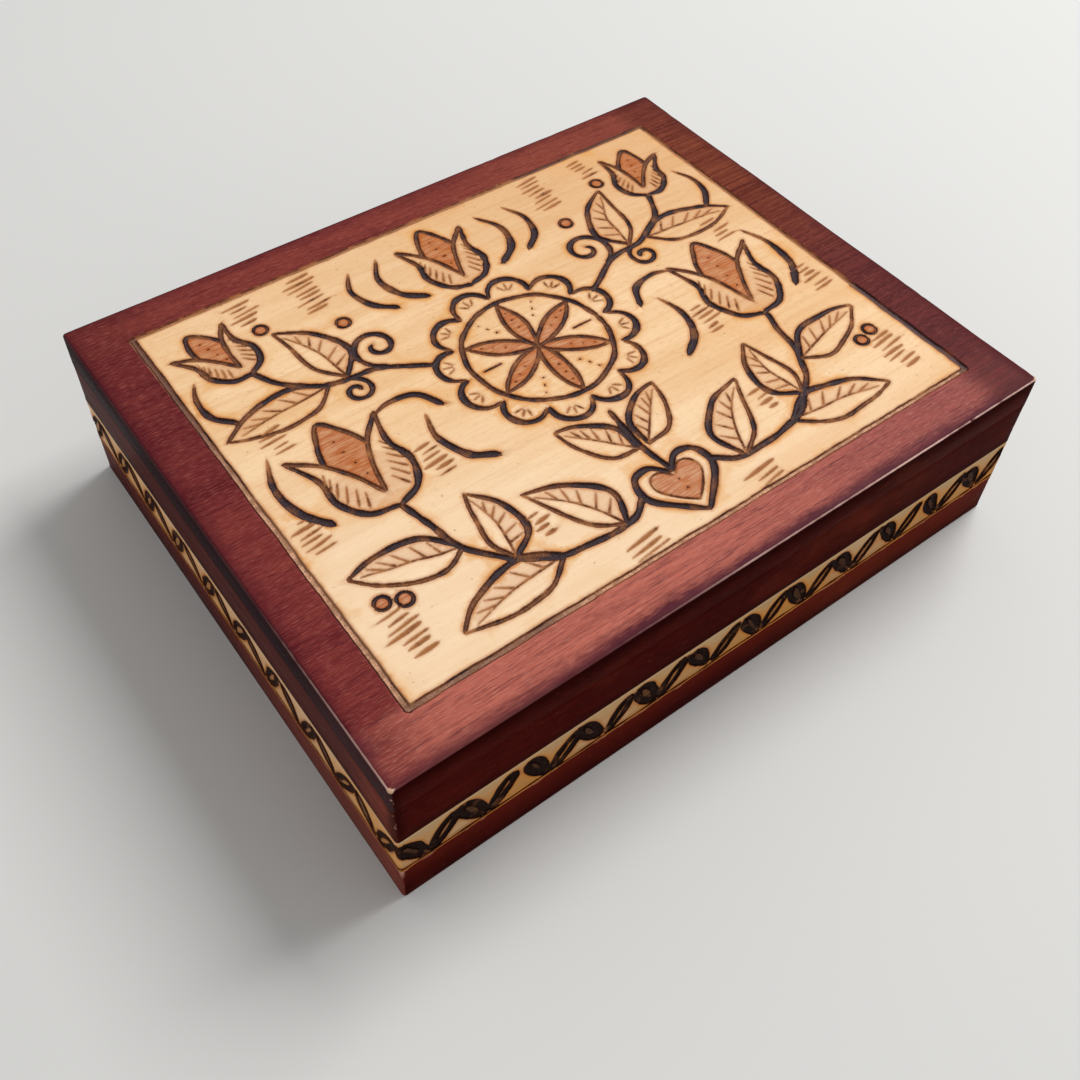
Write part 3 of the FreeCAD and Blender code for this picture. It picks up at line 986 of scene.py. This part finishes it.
class Shader:
    """A node material, built value by value."""

    def __init__(self, name):
        self.material = bpy.data.materials.new(name)
        self.material.use_nodes = True
        self.tree = self.material.node_tree
        self.surface = self.tree.nodes["Principled BSDF"].inputs

    def put(self, socket, value):
        """Links a socket to a value, or sets it to a constant."""
        if isinstance(value, Value):
            self.tree.links.new(value.socket, socket)
        else:
            socket.default_value = value

    def node(self, kind, inputs, output=0, **settings):
        """The output of a new node with these inputs and settings."""
        node = self.tree.nodes.new("ShaderNode" + kind)
        for name, setting in settings.items():
            setattr(node, name, setting)
        for name, value in inputs.items():
            self.put(node.inputs[name], value)
        return Value(self, node.outputs[output])

    def math(self, operation, *values):
        return self.node("Math", dict(enumerate(values)), operation=operation)

    def largest(self, first, *others):
        for other in others:
            first = self.math("MAXIMUM", first, other)
        return first

    def step(self, value, start, stop, low=0.0, high=1.0):
        """A smooth step from low, at start, to high, at stop."""
        inputs = dict(zip(RANGE_INPUTS, (value, start, stop, low, high)))
        return self.node("MapRange", inputs, "Result", interpolation_type="SMOOTHSTEP")

    def mix(self, share, first, second):
        """A colour between two others."""
        return self.node("Mix", {0: share, 6: first, 7: second}, 2, data_type="RGBA")

    def scaled(self, vector, factors):
        return self.node("VectorMath", {0: vector, 1: factors}, "Vector", operation="MULTIPLY")

    def combine(self, x, y, z):
        return self.node("CombineXYZ", {0: x, 1: y, 2: z})

    def hypotenuse(self, x, y, z=0.0):
        return self.node("VectorMath", {0: self.combine(x, y, z)}, "Value", operation="LENGTH")

    def noise(self, vector, cycles, detail=3.0, roughness=0.55):
        """Noise with so many cycles to the millimetre, or so many each way."""
        stretch = cycles if isinstance(cycles, tuple) else (cycles, cycles, cycles)
        place = self.scaled(vector, stretch)
        inputs = {"Vector": place, "Scale": 1.0, "Detail": detail, "Roughness": roughness}
        return self.node("TexNoise", inputs)

    def attribute(self, name):
        return self.node("Attribute", {}, "Fac", attribute_name=name)

    def millimetres(self):
        """Place of the point on the box, in millimetres."""
        return self.scaled(self.node("TexCoord", {}, "Object"), (1 / MM, 1 / MM, 1 / MM))

    def bump(self, height, depth):
        """A fine relief of this depth in millimetres."""
        inputs = {"Strength": 1.0, "Distance": depth * MM, "Height": height}
        self.put(self.surface["Normal"], self.node("Bump", inputs, "Normal"))

    def finish(self, colour, roughness):
        self.put(self.surface["Base Color"], colour)
        self.put(self.surface["Roughness"], roughness)
        return self.material


# Shift of the grain from one piece of wood to the next, along and across it
GRAIN_SHIFT = (37.0, 11.3)

# Colours of the drawing: the wash, the char and a painted sheen in its middle
ORANGE = srgb(174, 84, 36)
COAL = srgb(46, 27, 25)
CHAR_SHEEN = srgb(90, 81, 87)


class Wood(Shader):
    """Linden with its grain along X or Y, natural, stained or burnt."""

    def __init__(self, name, along, shift, low, high):
        super().__init__(name)
        self.point = self.millimetres()
        self.x, self.y, self.z = [self.node("SeparateXYZ", {0: self.point}, axis) for axis in range(3)]
        first, second = (self.x, self.y) if along == "X" else (self.y, self.x)
        self.grain = self.combine(first + GRAIN_SHIFT[0] * shift, second + GRAIN_SHIFT[1] * shift, self.z)
        self.from_end = LENGTH / 2 - abs(self.x)
        self.from_side = WIDTH / 2 - abs(self.y)
        self.inset = self.math("MINIMUM", self.from_end, self.from_side)
        self.below = high - self.z
        level = self.math("MINIMUM", self.z - low, self.below)
        self.corner = self.hypotenuse(self.from_end, self.from_side)
        self.rim = self.hypotenuse(self.inset, level)
        self.edge = self.math("MINIMUM", self.rim, self.corner)
        self.figure = self.noise(self.grain, (0.011, 0.13, 0.13), 3)
        self.streak = self.noise(self.grain, (0.045, 1.3, 1.3), 4, 0.6)
        self.dash = self.noise(self.grain, (0.28, 2.7, 2.7), 3, 0.6)
        self.fibre = self.noise(self.grain, (0.5, 8.0, 8.0), 2, 0.6)
        self.pore = self.noise(self.grain, (0.5, 5.0, 5.0), 1, 0.5)
        self.ray = self.noise(self.grain, (0.1, 3.2, 3.2), 2, 0.5)
        self.blotch = self.noise(self.point, 0.045, 3)

    def left(self, start, stop, *levels):
        """A step between two distances from the left side, in millimetres."""
        return self.x.step(start - LENGTH / 2, stop - LENGTH / 2, *levels)

    def right(self, start, stop):
        """The same from the right side."""
        return self.x.step(LENGTH / 2 - start, LENGTH / 2 - stop)

    def front(self, start, stop):
        """The same from the front."""
        return self.y.step(start - WIDTH / 2, stop - WIDTH / 2)

    def back(self, start, stop):
        """The same from the back."""
        return self.y.step(WIDTH / 2 - start, WIDTH / 2 - stop)

    def natural(self):
        """Bare pale wood, with a honey tone and short flecks."""
        base = self.mix(self.figure.step(0.3, 0.7), srgb(250, 214, 170), srgb(238, 194, 144))
        base = base.coat(self.streak.step(0.45, 0.8, 0, 0.45), 216, 160, 108)
        base = base.coat(self.pore.step(0.56, 0.7, 0, 0.35), 204, 148, 98)
        return base.coat(self.blotch.step(0.55, 0.75, 0, 0.3), 234, 178, 118)

    def stained(self, deep, middle, light):
        """Mahogany stain that takes unevenly along the grain."""
        tone = self.figure * 0.45 + self.streak * 0.35 + self.blotch * 0.45
        return self.mix(tone.step(0.4, 0.66), deep, middle).coat(tone.step(0.6, 0.8), light)

    def flecked(self, base, dark, pale, fleck, shade):
        """Short dark and pale flecks of the grain in the stain, and an uneven darker rim along the edges."""
        base = base.coat(self.dash.step(0.5, 0.3, 0, 0.4), dark)
        base = base.coat(self.ray.step(0.47, 0.3, 0, 0.5), dark)
        base = base.coat(self.pore.step(0.53, 0.66, 0, fleck), pale)
        mottle = self.noise(self.point, 0.11, 2)
        grit = self.noise(self.grain, (0.4, 2.4, 2.4), 3, 0.65)
        ragged = mottle * 3.2 + grit * 3.2 - 3.3
        rim = (self.edge + ragged).step(3.8, 0.4)
        return base.coat(rim * self.blotch.step(0.35, 0.6, 0.75, 1) * shade, dark)

    def worn_and_highlit(self, colour, amount):
        """Pale bare wood along rubbed edges, in nicks of the corners and at the tips of the front ones; the
        pale edge line and the tips are partly a painted highlight.
        """
        rough = self.noise(self.point, 0.5, 3) - 0.5
        place = self.noise(self.point, 0.06, 2)
        # The pale line along the rounded edge: partly wear, partly a painted highlight.
        bare = (self.rim + rough * 0.2).step(0.36, 0.25) * place.step(0.35, 0.6, 0.6, 1) * amount
        colour = colour.coat(bare, 250, 208, 192)
        nick = self.noise(self.point, (0.8, 0.8, 0.5), 2)
        colour = colour.coat(self.corner.step(0.62, 0.42) * nick.step(0.6, 0.68), 206, 160, 142)
        tip = self.hypotenuse(self.from_end, self.from_side, self.below) + rough * 1.4
        return colour.coat(tip.step(0.95, 0.5) * self.y.step(0, -40), 236, 190, 156)

    def burnt(self, colour, pale, scraping=None, tint=ORANGE, coal=COAL, char_sheen=CHAR_SHEEN):
        """Scorch, char and tint from the drawing, with a painted sheen down the middle of the lines.

        Pale says where the wood is natural, and scraping is what scraped_line gives.
        """
        bare, rubbed, sunk, verge = scraping or (0.0, coal, 0.0, coal)
        rag = self.noise(self.point, 2.2, 3)
        speck = self.noise(self.point, 4.5, 2, 0.6)
        patchy = self.noise(self.point, 0.45, 4, 0.65)
        gap = FAR - self.attribute("burn") + (rag - 0.5) * self.step(bare, 0, 0.2, 0.24, 0.1)
        tone = self.attribute("tone") + (patchy - 0.52) * 1.1
        glow = gap.step(1.9, 0.2) * self.blotch.step(0.4, 0.6, 0.1, 0.7) * tone.step(0.4, 0.9) * pale
        colour = colour.coat(glow, 226, 158, 76)
        halo = gap.step(0.75, 0) * tone.step(0, 1, 0.15, 0.65) * pale
        colour = colour.coat(halo, 186, 104, 44)
        colour = colour.coat(self.attribute("tint") * self.dash.step(0.3, 0.65, 0.6, 1), tint)
        ink = self.mix(tone.step(0.15, 0.5), srgb(168, 106, 60), srgb(98, 54, 34))
        ink = ink.coat(tone.step(0.5, 0.92), coal).coat(sunk, verge)
        # Painted sheen: a paler core down the middle of each burnt line, brown for faint lines and grey-blue
        # for dark ones.
        painted_sheen = self.mix(tone.step(0.5, 0.9), srgb(166, 116, 80), char_sheen)
        ink = ink.coat(gap.step(-0.16, -0.45) * speck.step(0.38, 0.64, 0.12, 0.65), painted_sheen)
        rubbed = self.mix(patchy.step(0.42, 0.58, 0.5, 0), rubbed, srgb(112, 78, 62))
        ink = ink.coat(gap.step(-0.28, -0.46) * bare * speck.step(0.38, 0.56, 0.45, 1), rubbed)
        soft = tone.step(0.1, 0.6, 0.3, 0.1)
        return colour.coat(gap.step(soft, soft * -1.0), ink)

    def varnish(self, colour, gloss, tint=(1.0, 1.0, 1.0, 1.0)):
        """A thin satin coat over the finished colour, with the grain just felt."""
        self.bump(self.dash * 0.6 + self.fibre * 0.4, 0.05)
        self.surface["Specular IOR Level"].default_value = gloss
        self.surface["Specular Tint"].default_value = tint
        return self.finish(colour, self.streak.step(0.3, 0.7, 0.3, 0.46))


def board_material():
    """Top of the lid: stained border and natural panel with the burnt design."""
    wood = Wood("lid_board_wood", "X", 1, -LENGTH, LID_TOP)
    into = wood.inset - BORDER
    panel = into.step(-0.25, 0.25)
    colour = wood.mix(panel, border_stain(wood), panel_wood(wood, into))
    return wood.varnish(wood.burnt(colour, panel, scraped_line(wood, into)), 0.03)


def border_stain(wood):
    """The lid's border: a painted rosy sheen in front, brown on the right, deep red elsewhere, and a dark,
    rubbed edge that is partly painted shade and highlight.
    """
    stained = wood.stained(srgb(82, 23, 28), srgb(118, 46, 45), srgb(134, 60, 52))
    front = wood.front(BORDER + 3, BORDER)
    right = wood.right(BORDER + 6, BORDER - 3)
    # Painted sheen: a rosy veil over the front border, weaker at the left end.
    front_sheen = wood.left(3, BORDER + 4, 0.3, 1) * front * wood.streak.step(0.3, 0.7, 0.65, 0.95)
    front_sheen_colour = wood.mix(wood.x.step(-20, 60), srgb(193, 108, 91), srgb(160, 85, 78))
    stained = stained.coat(front_sheen, front_sheen_colour)
    distant = wood.left(BORDER + 3, BORDER) * wood.y.step(-10, 25)
    stained = stained.coat(distant * 0.35, 78, 20, 30)
    rear = wood.back(BORDER + 3, BORDER) * wood.x.step(-20, 50, 0.12, 0.4)
    stained = stained.coat(rear, 156, 84, 60)
    far = wood.y.step(-30, 30) * wood.y.step(64, 36, 0.4, 1)
    umber = wood.mix(far, srgb(66, 22, 26), srgb(84, 32, 18))
    ochre = wood.mix(far, srgb(98, 41, 41), srgb(130, 67, 41))
    stained = stained.coat(right * 0.85, umber.coat(wood.streak.step(0.28, 0.68), ochre))
    dark = wood.mix(front, srgb(72, 18, 30), srgb(86, 34, 44)).coat(right * 0.6, 84, 34, 30)
    pale = wood.mix(front * right.step(0, 1, 1, 0), srgb(176, 100, 88), srgb(226, 158, 138))
    fleck = front.step(0, 1, 0.32, 0.2) * right.step(0, 1, 1, 0.6)
    ragged = (front * wood.x.step(-66, -30, 0.45, 1)).step(0, 1, 0.5, 1.15)
    stained = wood.flecked(stained, dark, pale, fleck, ragged)
    # Painted shade on the rounded upper edge, stronger at the sides and back than in front.
    stained = stained.coat(wood.rim.step(0.9, 0.3) * front.step(0, 1, 0.85, 0.3), 66, 24, 32)
    return wood.worn_and_highlit(stained, edge_rub_and_highlight(wood))


def panel_wood(wood, into):
    """The lid's natural panel: paler in front, deeper behind, warm near the border, with a few specks."""
    depth = wood.y * 0.8 + wood.x * 0.35
    natural = wood.natural().coat(depth.step(0, -50, 0, 0.5), 255, 230, 198)
    natural = natural.coat(depth.step(0, 55, 0, 0.38), 206, 150, 98)
    natural = natural.coat(into.step(9, 0.5) * wood.blotch.step(0.4, 0.65, 0, 0.25), 226, 160, 88)
    return natural.coat(wood.noise(wood.point, 1.1, 0).step(0.8, 0.86, 0, 0.4), 140, 104, 78)


def edge_rub_and_highlight(wood):
    """How bare the lid's upper edge is rubbed, partly a painted highlight: most at the front right, a little
    on the left, not behind.
    """
    front = wood.front(3, 1) * wood.x.step(-40, 15, 0.02, 0.75)
    left = wood.left(1.4, 0.6) * wood.y.step(-20, -62, 0.03, 0.8)
    return wood.largest(front, left)


def scraped_line(wood, into):
    """How bare the border line is scraped, its colour there, how dark its edges are and their colour."""
    on_line = abs(into).step(1.4, 1.2)
    left, right, front, back = [
        side(BORDER + 2, BORDER + 1) for side in (wood.left, wood.right, wood.front, wood.back)
    ]
    inner = into.step(0.3, 0.8)
    verge = wood.mix(inner, srgb(52, 20, 14), srgb(146, 100, 70))
    sunk = left * on_line * (inner * wood.y.step(-20, 20)).step(0, 1, 0.9, 0)
    colour = wood.mix(wood.largest(back, right), srgb(228, 174, 138), srgb(196, 136, 98))
    charred = right * wood.y.step(-16, -26)
    dull = wood.largest(
        left * wood.y.step(-5, 34),
        front * wood.x.step(-30, -42, 0, 0.7),
        back * wood.x.step(26, 36),
        charred,
    )
    colour = colour.coat(dull, 128, 92, 80).coat(charred * 0.85, 110, 90, 94)
    return on_line * 0.95, colour, sunk, verge


# Gloss of the thin stained sides: dull red in front, a little haze elsewhere
FRONT_GLOSS = (0.002, (0.7, 0.3, 0.26, 1.0))
SIDE_GLOSS = (0.006, (1.0, 1.0, 1.0, 1.0))

# Where the outer left face gives way to the front, in millimetres from the left side
LEFT_FACE = (0.7, 0.2)

# Where the stain outside a frame gives way to the natural wood inside it, in millimetres from the face
OUTSIDE = (1.6, 0.8)


def side_stain(wood, age):
    """The deeper stain of the sides, with browner patches, and a painted reflection that lightens the outer
    left face.
    """
    stained = wood.stained(srgb(48, 5, 4), srgb(68, 11, 8), srgb(84, 20, 13))
    patches = wood.noise(wood.point, (0.035, 0.035, 0.06), 3)
    stained = stained.coat(patches.step(0.54, 0.7, 0, 0.6), 108, 40, 24)
    aged = wood.x.step(5, 35) * wood.x.step(70, 45, 0.4, 1) * age * patches.step(0.35, 0.6, 0.4, 1)
    stained = stained.coat(aged, 122, 50, 28)
    # Painted reflection: the outer left face is lighter, most at its front end.
    left = wood.left(*LEFT_FACE) * wood.y.step(50, -60, 0.3, 0.7)
    stained = stained.coat(left, 108, 58, 54)
    stained = stained.coat(left * wood.y.step(-46, -62, 0, 0.8), 158, 74, 54)
    dust = wood.noise(wood.point, 1.3, 0)
    stained = stained.coat(dust.step(0.84, 0.89, 0, 0.45), 140, 66, 48)
    return wood.flecked(stained, srgb(38, 5, 5), srgb(112, 46, 34), 0.22, 0.75)


def board_side_material():
    """Edges of the lid's board: side stain, nearly black end grain, and bare wood underneath."""
    wood = Wood("lid_board_side_wood", "X", 1, -LENGTH, LID_TOP)
    above = wood.z - BOARD_LEVEL
    stained = side_stain(wood, 0.1).coat(above.step(0, 7, 0, 0.45), 30, 4, 3)
    grain = wood.noise(wood.point, (1.5, 3.5, 3.5), 3)
    end = wood.mix(grain.step(0.4, 0.7), srgb(40, 26, 30), srgb(72, 48, 52))
    end = end.coat(wood.y.step(-30, -50, 0, 0.5), 86, 54, 56)
    stained = stained.coat(wood.from_end.step(0.55, 0.3), end)
    glue = above.step(0.4, 0.15) * wood.streak.step(0.4, 0.65, 0, 0.12)
    stained = wood.worn_and_highlit(stained.coat(glue, 104, 44, 32), 0.7)
    under = above.step(0.3, 0.1) * wood.inset.step(0.5, 1.2)
    return wood.varnish(stained.coat(under, wood.natural()), *FRONT_GLOSS)


def seamed(wood):
    """Natural wood inside a frame, with the hairline of its mitres."""
    off = abs(wood.from_end - wood.from_side)
    return wood.natural().coat(off.step(0.2, 0.06, 0, 0.7), 128, 78, 44)


def rail_material(name, along, shift, gloss):
    """Rim of the lid: stained outside, natural inside."""
    wood = Wood(name, along, shift, PARTING, LENGTH)
    stained = wood.worn_and_highlit(side_stain(wood, 0.2), 0.15)
    return wood.varnish(seamed(wood).coat(wood.inset.step(*OUTSIDE), stained), *gloss)


def wall_material(name, along, shift, gloss):
    """Wall of the tray: a natural band with burnt petals over a stained band, and natural wood inside."""
    wood = Wood(name, along, shift, 0.0, PARTING)
    creep = wood.noise(wood.point, (0.16, 0.16, 0.5), 4, 0.6)
    rise = wood.z - (PARTING - BAND_HEIGHT) + (creep - 0.5) * 1.2
    band = rise.step(-0.95, -0.6)
    left = wood.left(*LEFT_FACE)
    inside = seamed(wood)
    outer = wood.mix(band, wall_stain(wood, rise, left), band_wood(wood, inside, rise, left, creep))
    coal = wood.mix(left, srgb(24, 10, 8), srgb(62, 32, 22))
    colour = inside.coat(wood.inset.step(*OUTSIDE), outer)
    # The burnt petals, with their char and painted sheen in darker colours.
    colour = wood.burnt(colour, band, tint=srgb(74, 50, 38), coal=coal, char_sheen=srgb(60, 46, 42))
    return wood.varnish(colour, *gloss)


def wall_stain(wood, rise, left):
    """The tray's stained band, with a chipped lip at the top and a knocked front corner, painted shade towards
    the floor and a painted reflection on its left face.
    """
    # Painted shade: the stain is lighter near the band and darker towards the floor.
    stained = side_stain(wood, 0.55).coat(rise.step(-9, -0.6, 0.05, 0.6), 108, 32, 19)
    # Painted reflection: the outer left face is lighter towards its front.
    stained = stained.coat(left * wood.y.step(5, -30, 0, 0.45), 150, 76, 62)
    chips = wood.noise(wood.point, (0.35, 0.35, 0.5), 3, 0.6)
    lip = abs(rise + 1.05).step(0.28, 0.1)
    stained = stained.coat(lip * chips.step(0.5, 0.64, 0, 0.65), 206, 140, 116)
    knock = wood.corner.step(1, 0.5) * rise.step(-4.5, -1) * chips.step(0.4, 0.5)
    stained = stained.coat(knock * wood.y.step(0, -40), 200, 146, 126)
    return wood.worn_and_highlit(stained, 0.3)


def band_wood(wood, inside, rise, left, creep):
    """The tray's natural band: darkened with age, honey on the left, soaked with stain at its foot, and a
    painted highlight along its top edge.
    """
    natural = inside.coat(wood.blotch.step(0.35, 0.65, 0.5, 0.85), 158, 108, 58)
    natural = natural.coat(wood.figure.step(0.45, 0.6, 0, 0.4), 196, 124, 62)
    natural = natural.coat(rise.step(4, 9.5, 0, 0.55), 208, 178, 136)
    honey = wood.mix(wood.y.step(-35, -58), srgb(255, 206, 160), srgb(248, 182, 112))
    natural = natural.coat(left * 0.8, honey)
    soaked = rise.step(2.4, 0.1) * creep.step(0.35, 0.65, 0.3, 0.85)
    natural = natural.coat(soaked, 146, 94, 36)
    natural = natural.coat(rise.step(0.1, -0.4, 0, 0.7), 160, 92, 38)
    # Painted highlight along the top edge of the band.
    return natural.coat(wood.below.step(0.5, 0.2, 0, 0.55), 240, 206, 158)


def floor_panel_material():
    """Natural wood of the tray's floor."""
    wood = Wood("floor_panel_wood", "X", 9, 0.0, PARTING)
    return wood.varnish(wood.natural(), 0.1)


def brass_material():
    """Old brass, a little tarnished and scratched."""
    metal = Shader("aged_brass")
    point = metal.millimetres()
    cloud = metal.noise(point, 0.5, 4)
    colour = metal.mix(cloud.step(0.35, 0.7), srgb(214, 168, 88), srgb(150, 106, 52))
    metal.surface["Metallic"].default_value = 1.0
    metal.bump(metal.noise(point, (0.6, 9.0, 9.0), 2), 0.012)
    return metal.finish(colour, cloud.step(0.3, 0.7, 0.24, 0.42))


def dress():
    """Every wooden node gets its detailed piece, and the others their materials."""
    top_board(board_material(), board_side_material())
    materials = {}
    for shift, (name, turn) in enumerate(SIDES.items(), start=2):
        along = "X" if turn % 180 == 0 else "Y"
        gloss = FRONT_GLOSS if name == "front" else SIDE_GLOSS
        materials[f"lid_{name}_rail"] = rail_material(f"lid_{name}_rail_wood", along, shift, gloss)
        materials[f"base_{name}_wall"] = wall_material(f"base_{name}_wall_wood", along, shift + 4.5, gloss)
    hinge_seats(frame_sides(materials))
    brass = brass_material()
    for name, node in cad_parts.items():
        if "hinge" in name:
            give(node, brass)
    give(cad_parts["base_floor"], floor_panel_material())


def give(node, material):
    """Puts one material in all slots of a CAD node."""
    if not node.material_slots:
        node.data.materials.append(material)
    for slot in node.material_slots:
        slot.material = material


# Stage, light and camera

# The photo's camera: lens and middle row in pixels, angles in degrees, place in millimetres
FOCAL_PIXELS = 1224.3
IMAGE_PIXELS = 1080
CENTRE_ROW = 480
SENSOR = 36.0
AZIMUTH = -38.693
ELEVATION = 49.463
ROLL = 2.549
DISTANCE = 270.5
SLIDE = (-1.5, -14.3)
TARGET = (0.0, 0.0, 24.0)
NEAR_LIMIT = 0.01

# Floor and light, in metres and watts
FLOOR_REACH = 4.0
WORLD_STRENGTH = 0.45
LAMP_PLACE = (0.95, 0.1, 1.25)
LAMP_SIZE = 0.8
LAMP_POWER = 19.0


def camera():
    """The camera at the photo's place, with its optical axis a little above the middle of the frame."""
    azimuth, elevation, roll = (math.radians(value) for value in (AZIMUTH, ELEVATION, ROLL))
    flat = math.cos(elevation)
    back = Vector((math.sin(azimuth) * flat, -math.cos(azimuth) * flat, math.sin(elevation)))
    right = Vector((math.cos(azimuth), math.sin(azimuth), 0))
    up = back.cross(right)
    tilted = math.cos(roll) * right + math.sin(roll) * up
    upright = math.cos(roll) * up - math.sin(roll) * right
    data = bpy.data.cameras.new("camera")
    data.sensor_width = SENSOR
    data.lens = SENSOR * FOCAL_PIXELS / IMAGE_PIXELS
    data.shift_y = (CENTRE_ROW - IMAGE_PIXELS / 2) / IMAGE_PIXELS
    data.clip_start = NEAR_LIMIT
    made = new_object("camera", data)
    place = (Vector(TARGET) + back * DISTANCE + tilted * SLIDE[0] + upright * SLIDE[1]) * MM
    made.matrix_world = Matrix.Translation(place) @ Matrix((tilted, upright, back)).transposed().to_4x4()
    bpy.context.scene.camera = made


def floor():
    """A large pale floor."""
    shader = Shader("floor_paint")
    cloud = shader.noise(shader.millimetres(), 0.004, 2)
    colour = shader.mix(cloud, srgb(214, 214, 212), srgb(222, 221, 218))
    mesh = bpy.data.meshes.new("floor")
    corners = [(x * FLOOR_REACH, y * FLOOR_REACH, 0) for x, y in ((-1, -1), (1, -1), (1, 1), (-1, 1))]
    mesh.from_pydata(corners, [], [(0, 1, 2, 3)])
    mesh.materials.append(shader.finish(colour, 0.7))
    made = new_object("floor", mesh)


def light():
    """Even light from the world, and a large soft lamp on the right, a little behind, that faces the box."""
    world = bpy.data.worlds.new("studio")
    bpy.context.scene.world = world
    world.use_nodes = True
    world.node_tree.nodes["Background"].inputs["Color"].default_value = (1.0, 1.0, 1.0, 1.0)
    world.node_tree.nodes["Background"].inputs["Strength"].default_value = WORLD_STRENGTH
    data = bpy.data.lights.new("key", "AREA")
    data.size = LAMP_SIZE
    data.energy = LAMP_POWER
    lamp = new_object("key", data)
    lamp.location = LAMP_PLACE
    lamp.rotation_euler = (-Vector(LAMP_PLACE)).to_track_quat("-Z", "Y").to_euler()


dress()
floor()
light()
camera()
bpy.context.scene.view_settings.view_transform = "Standard"
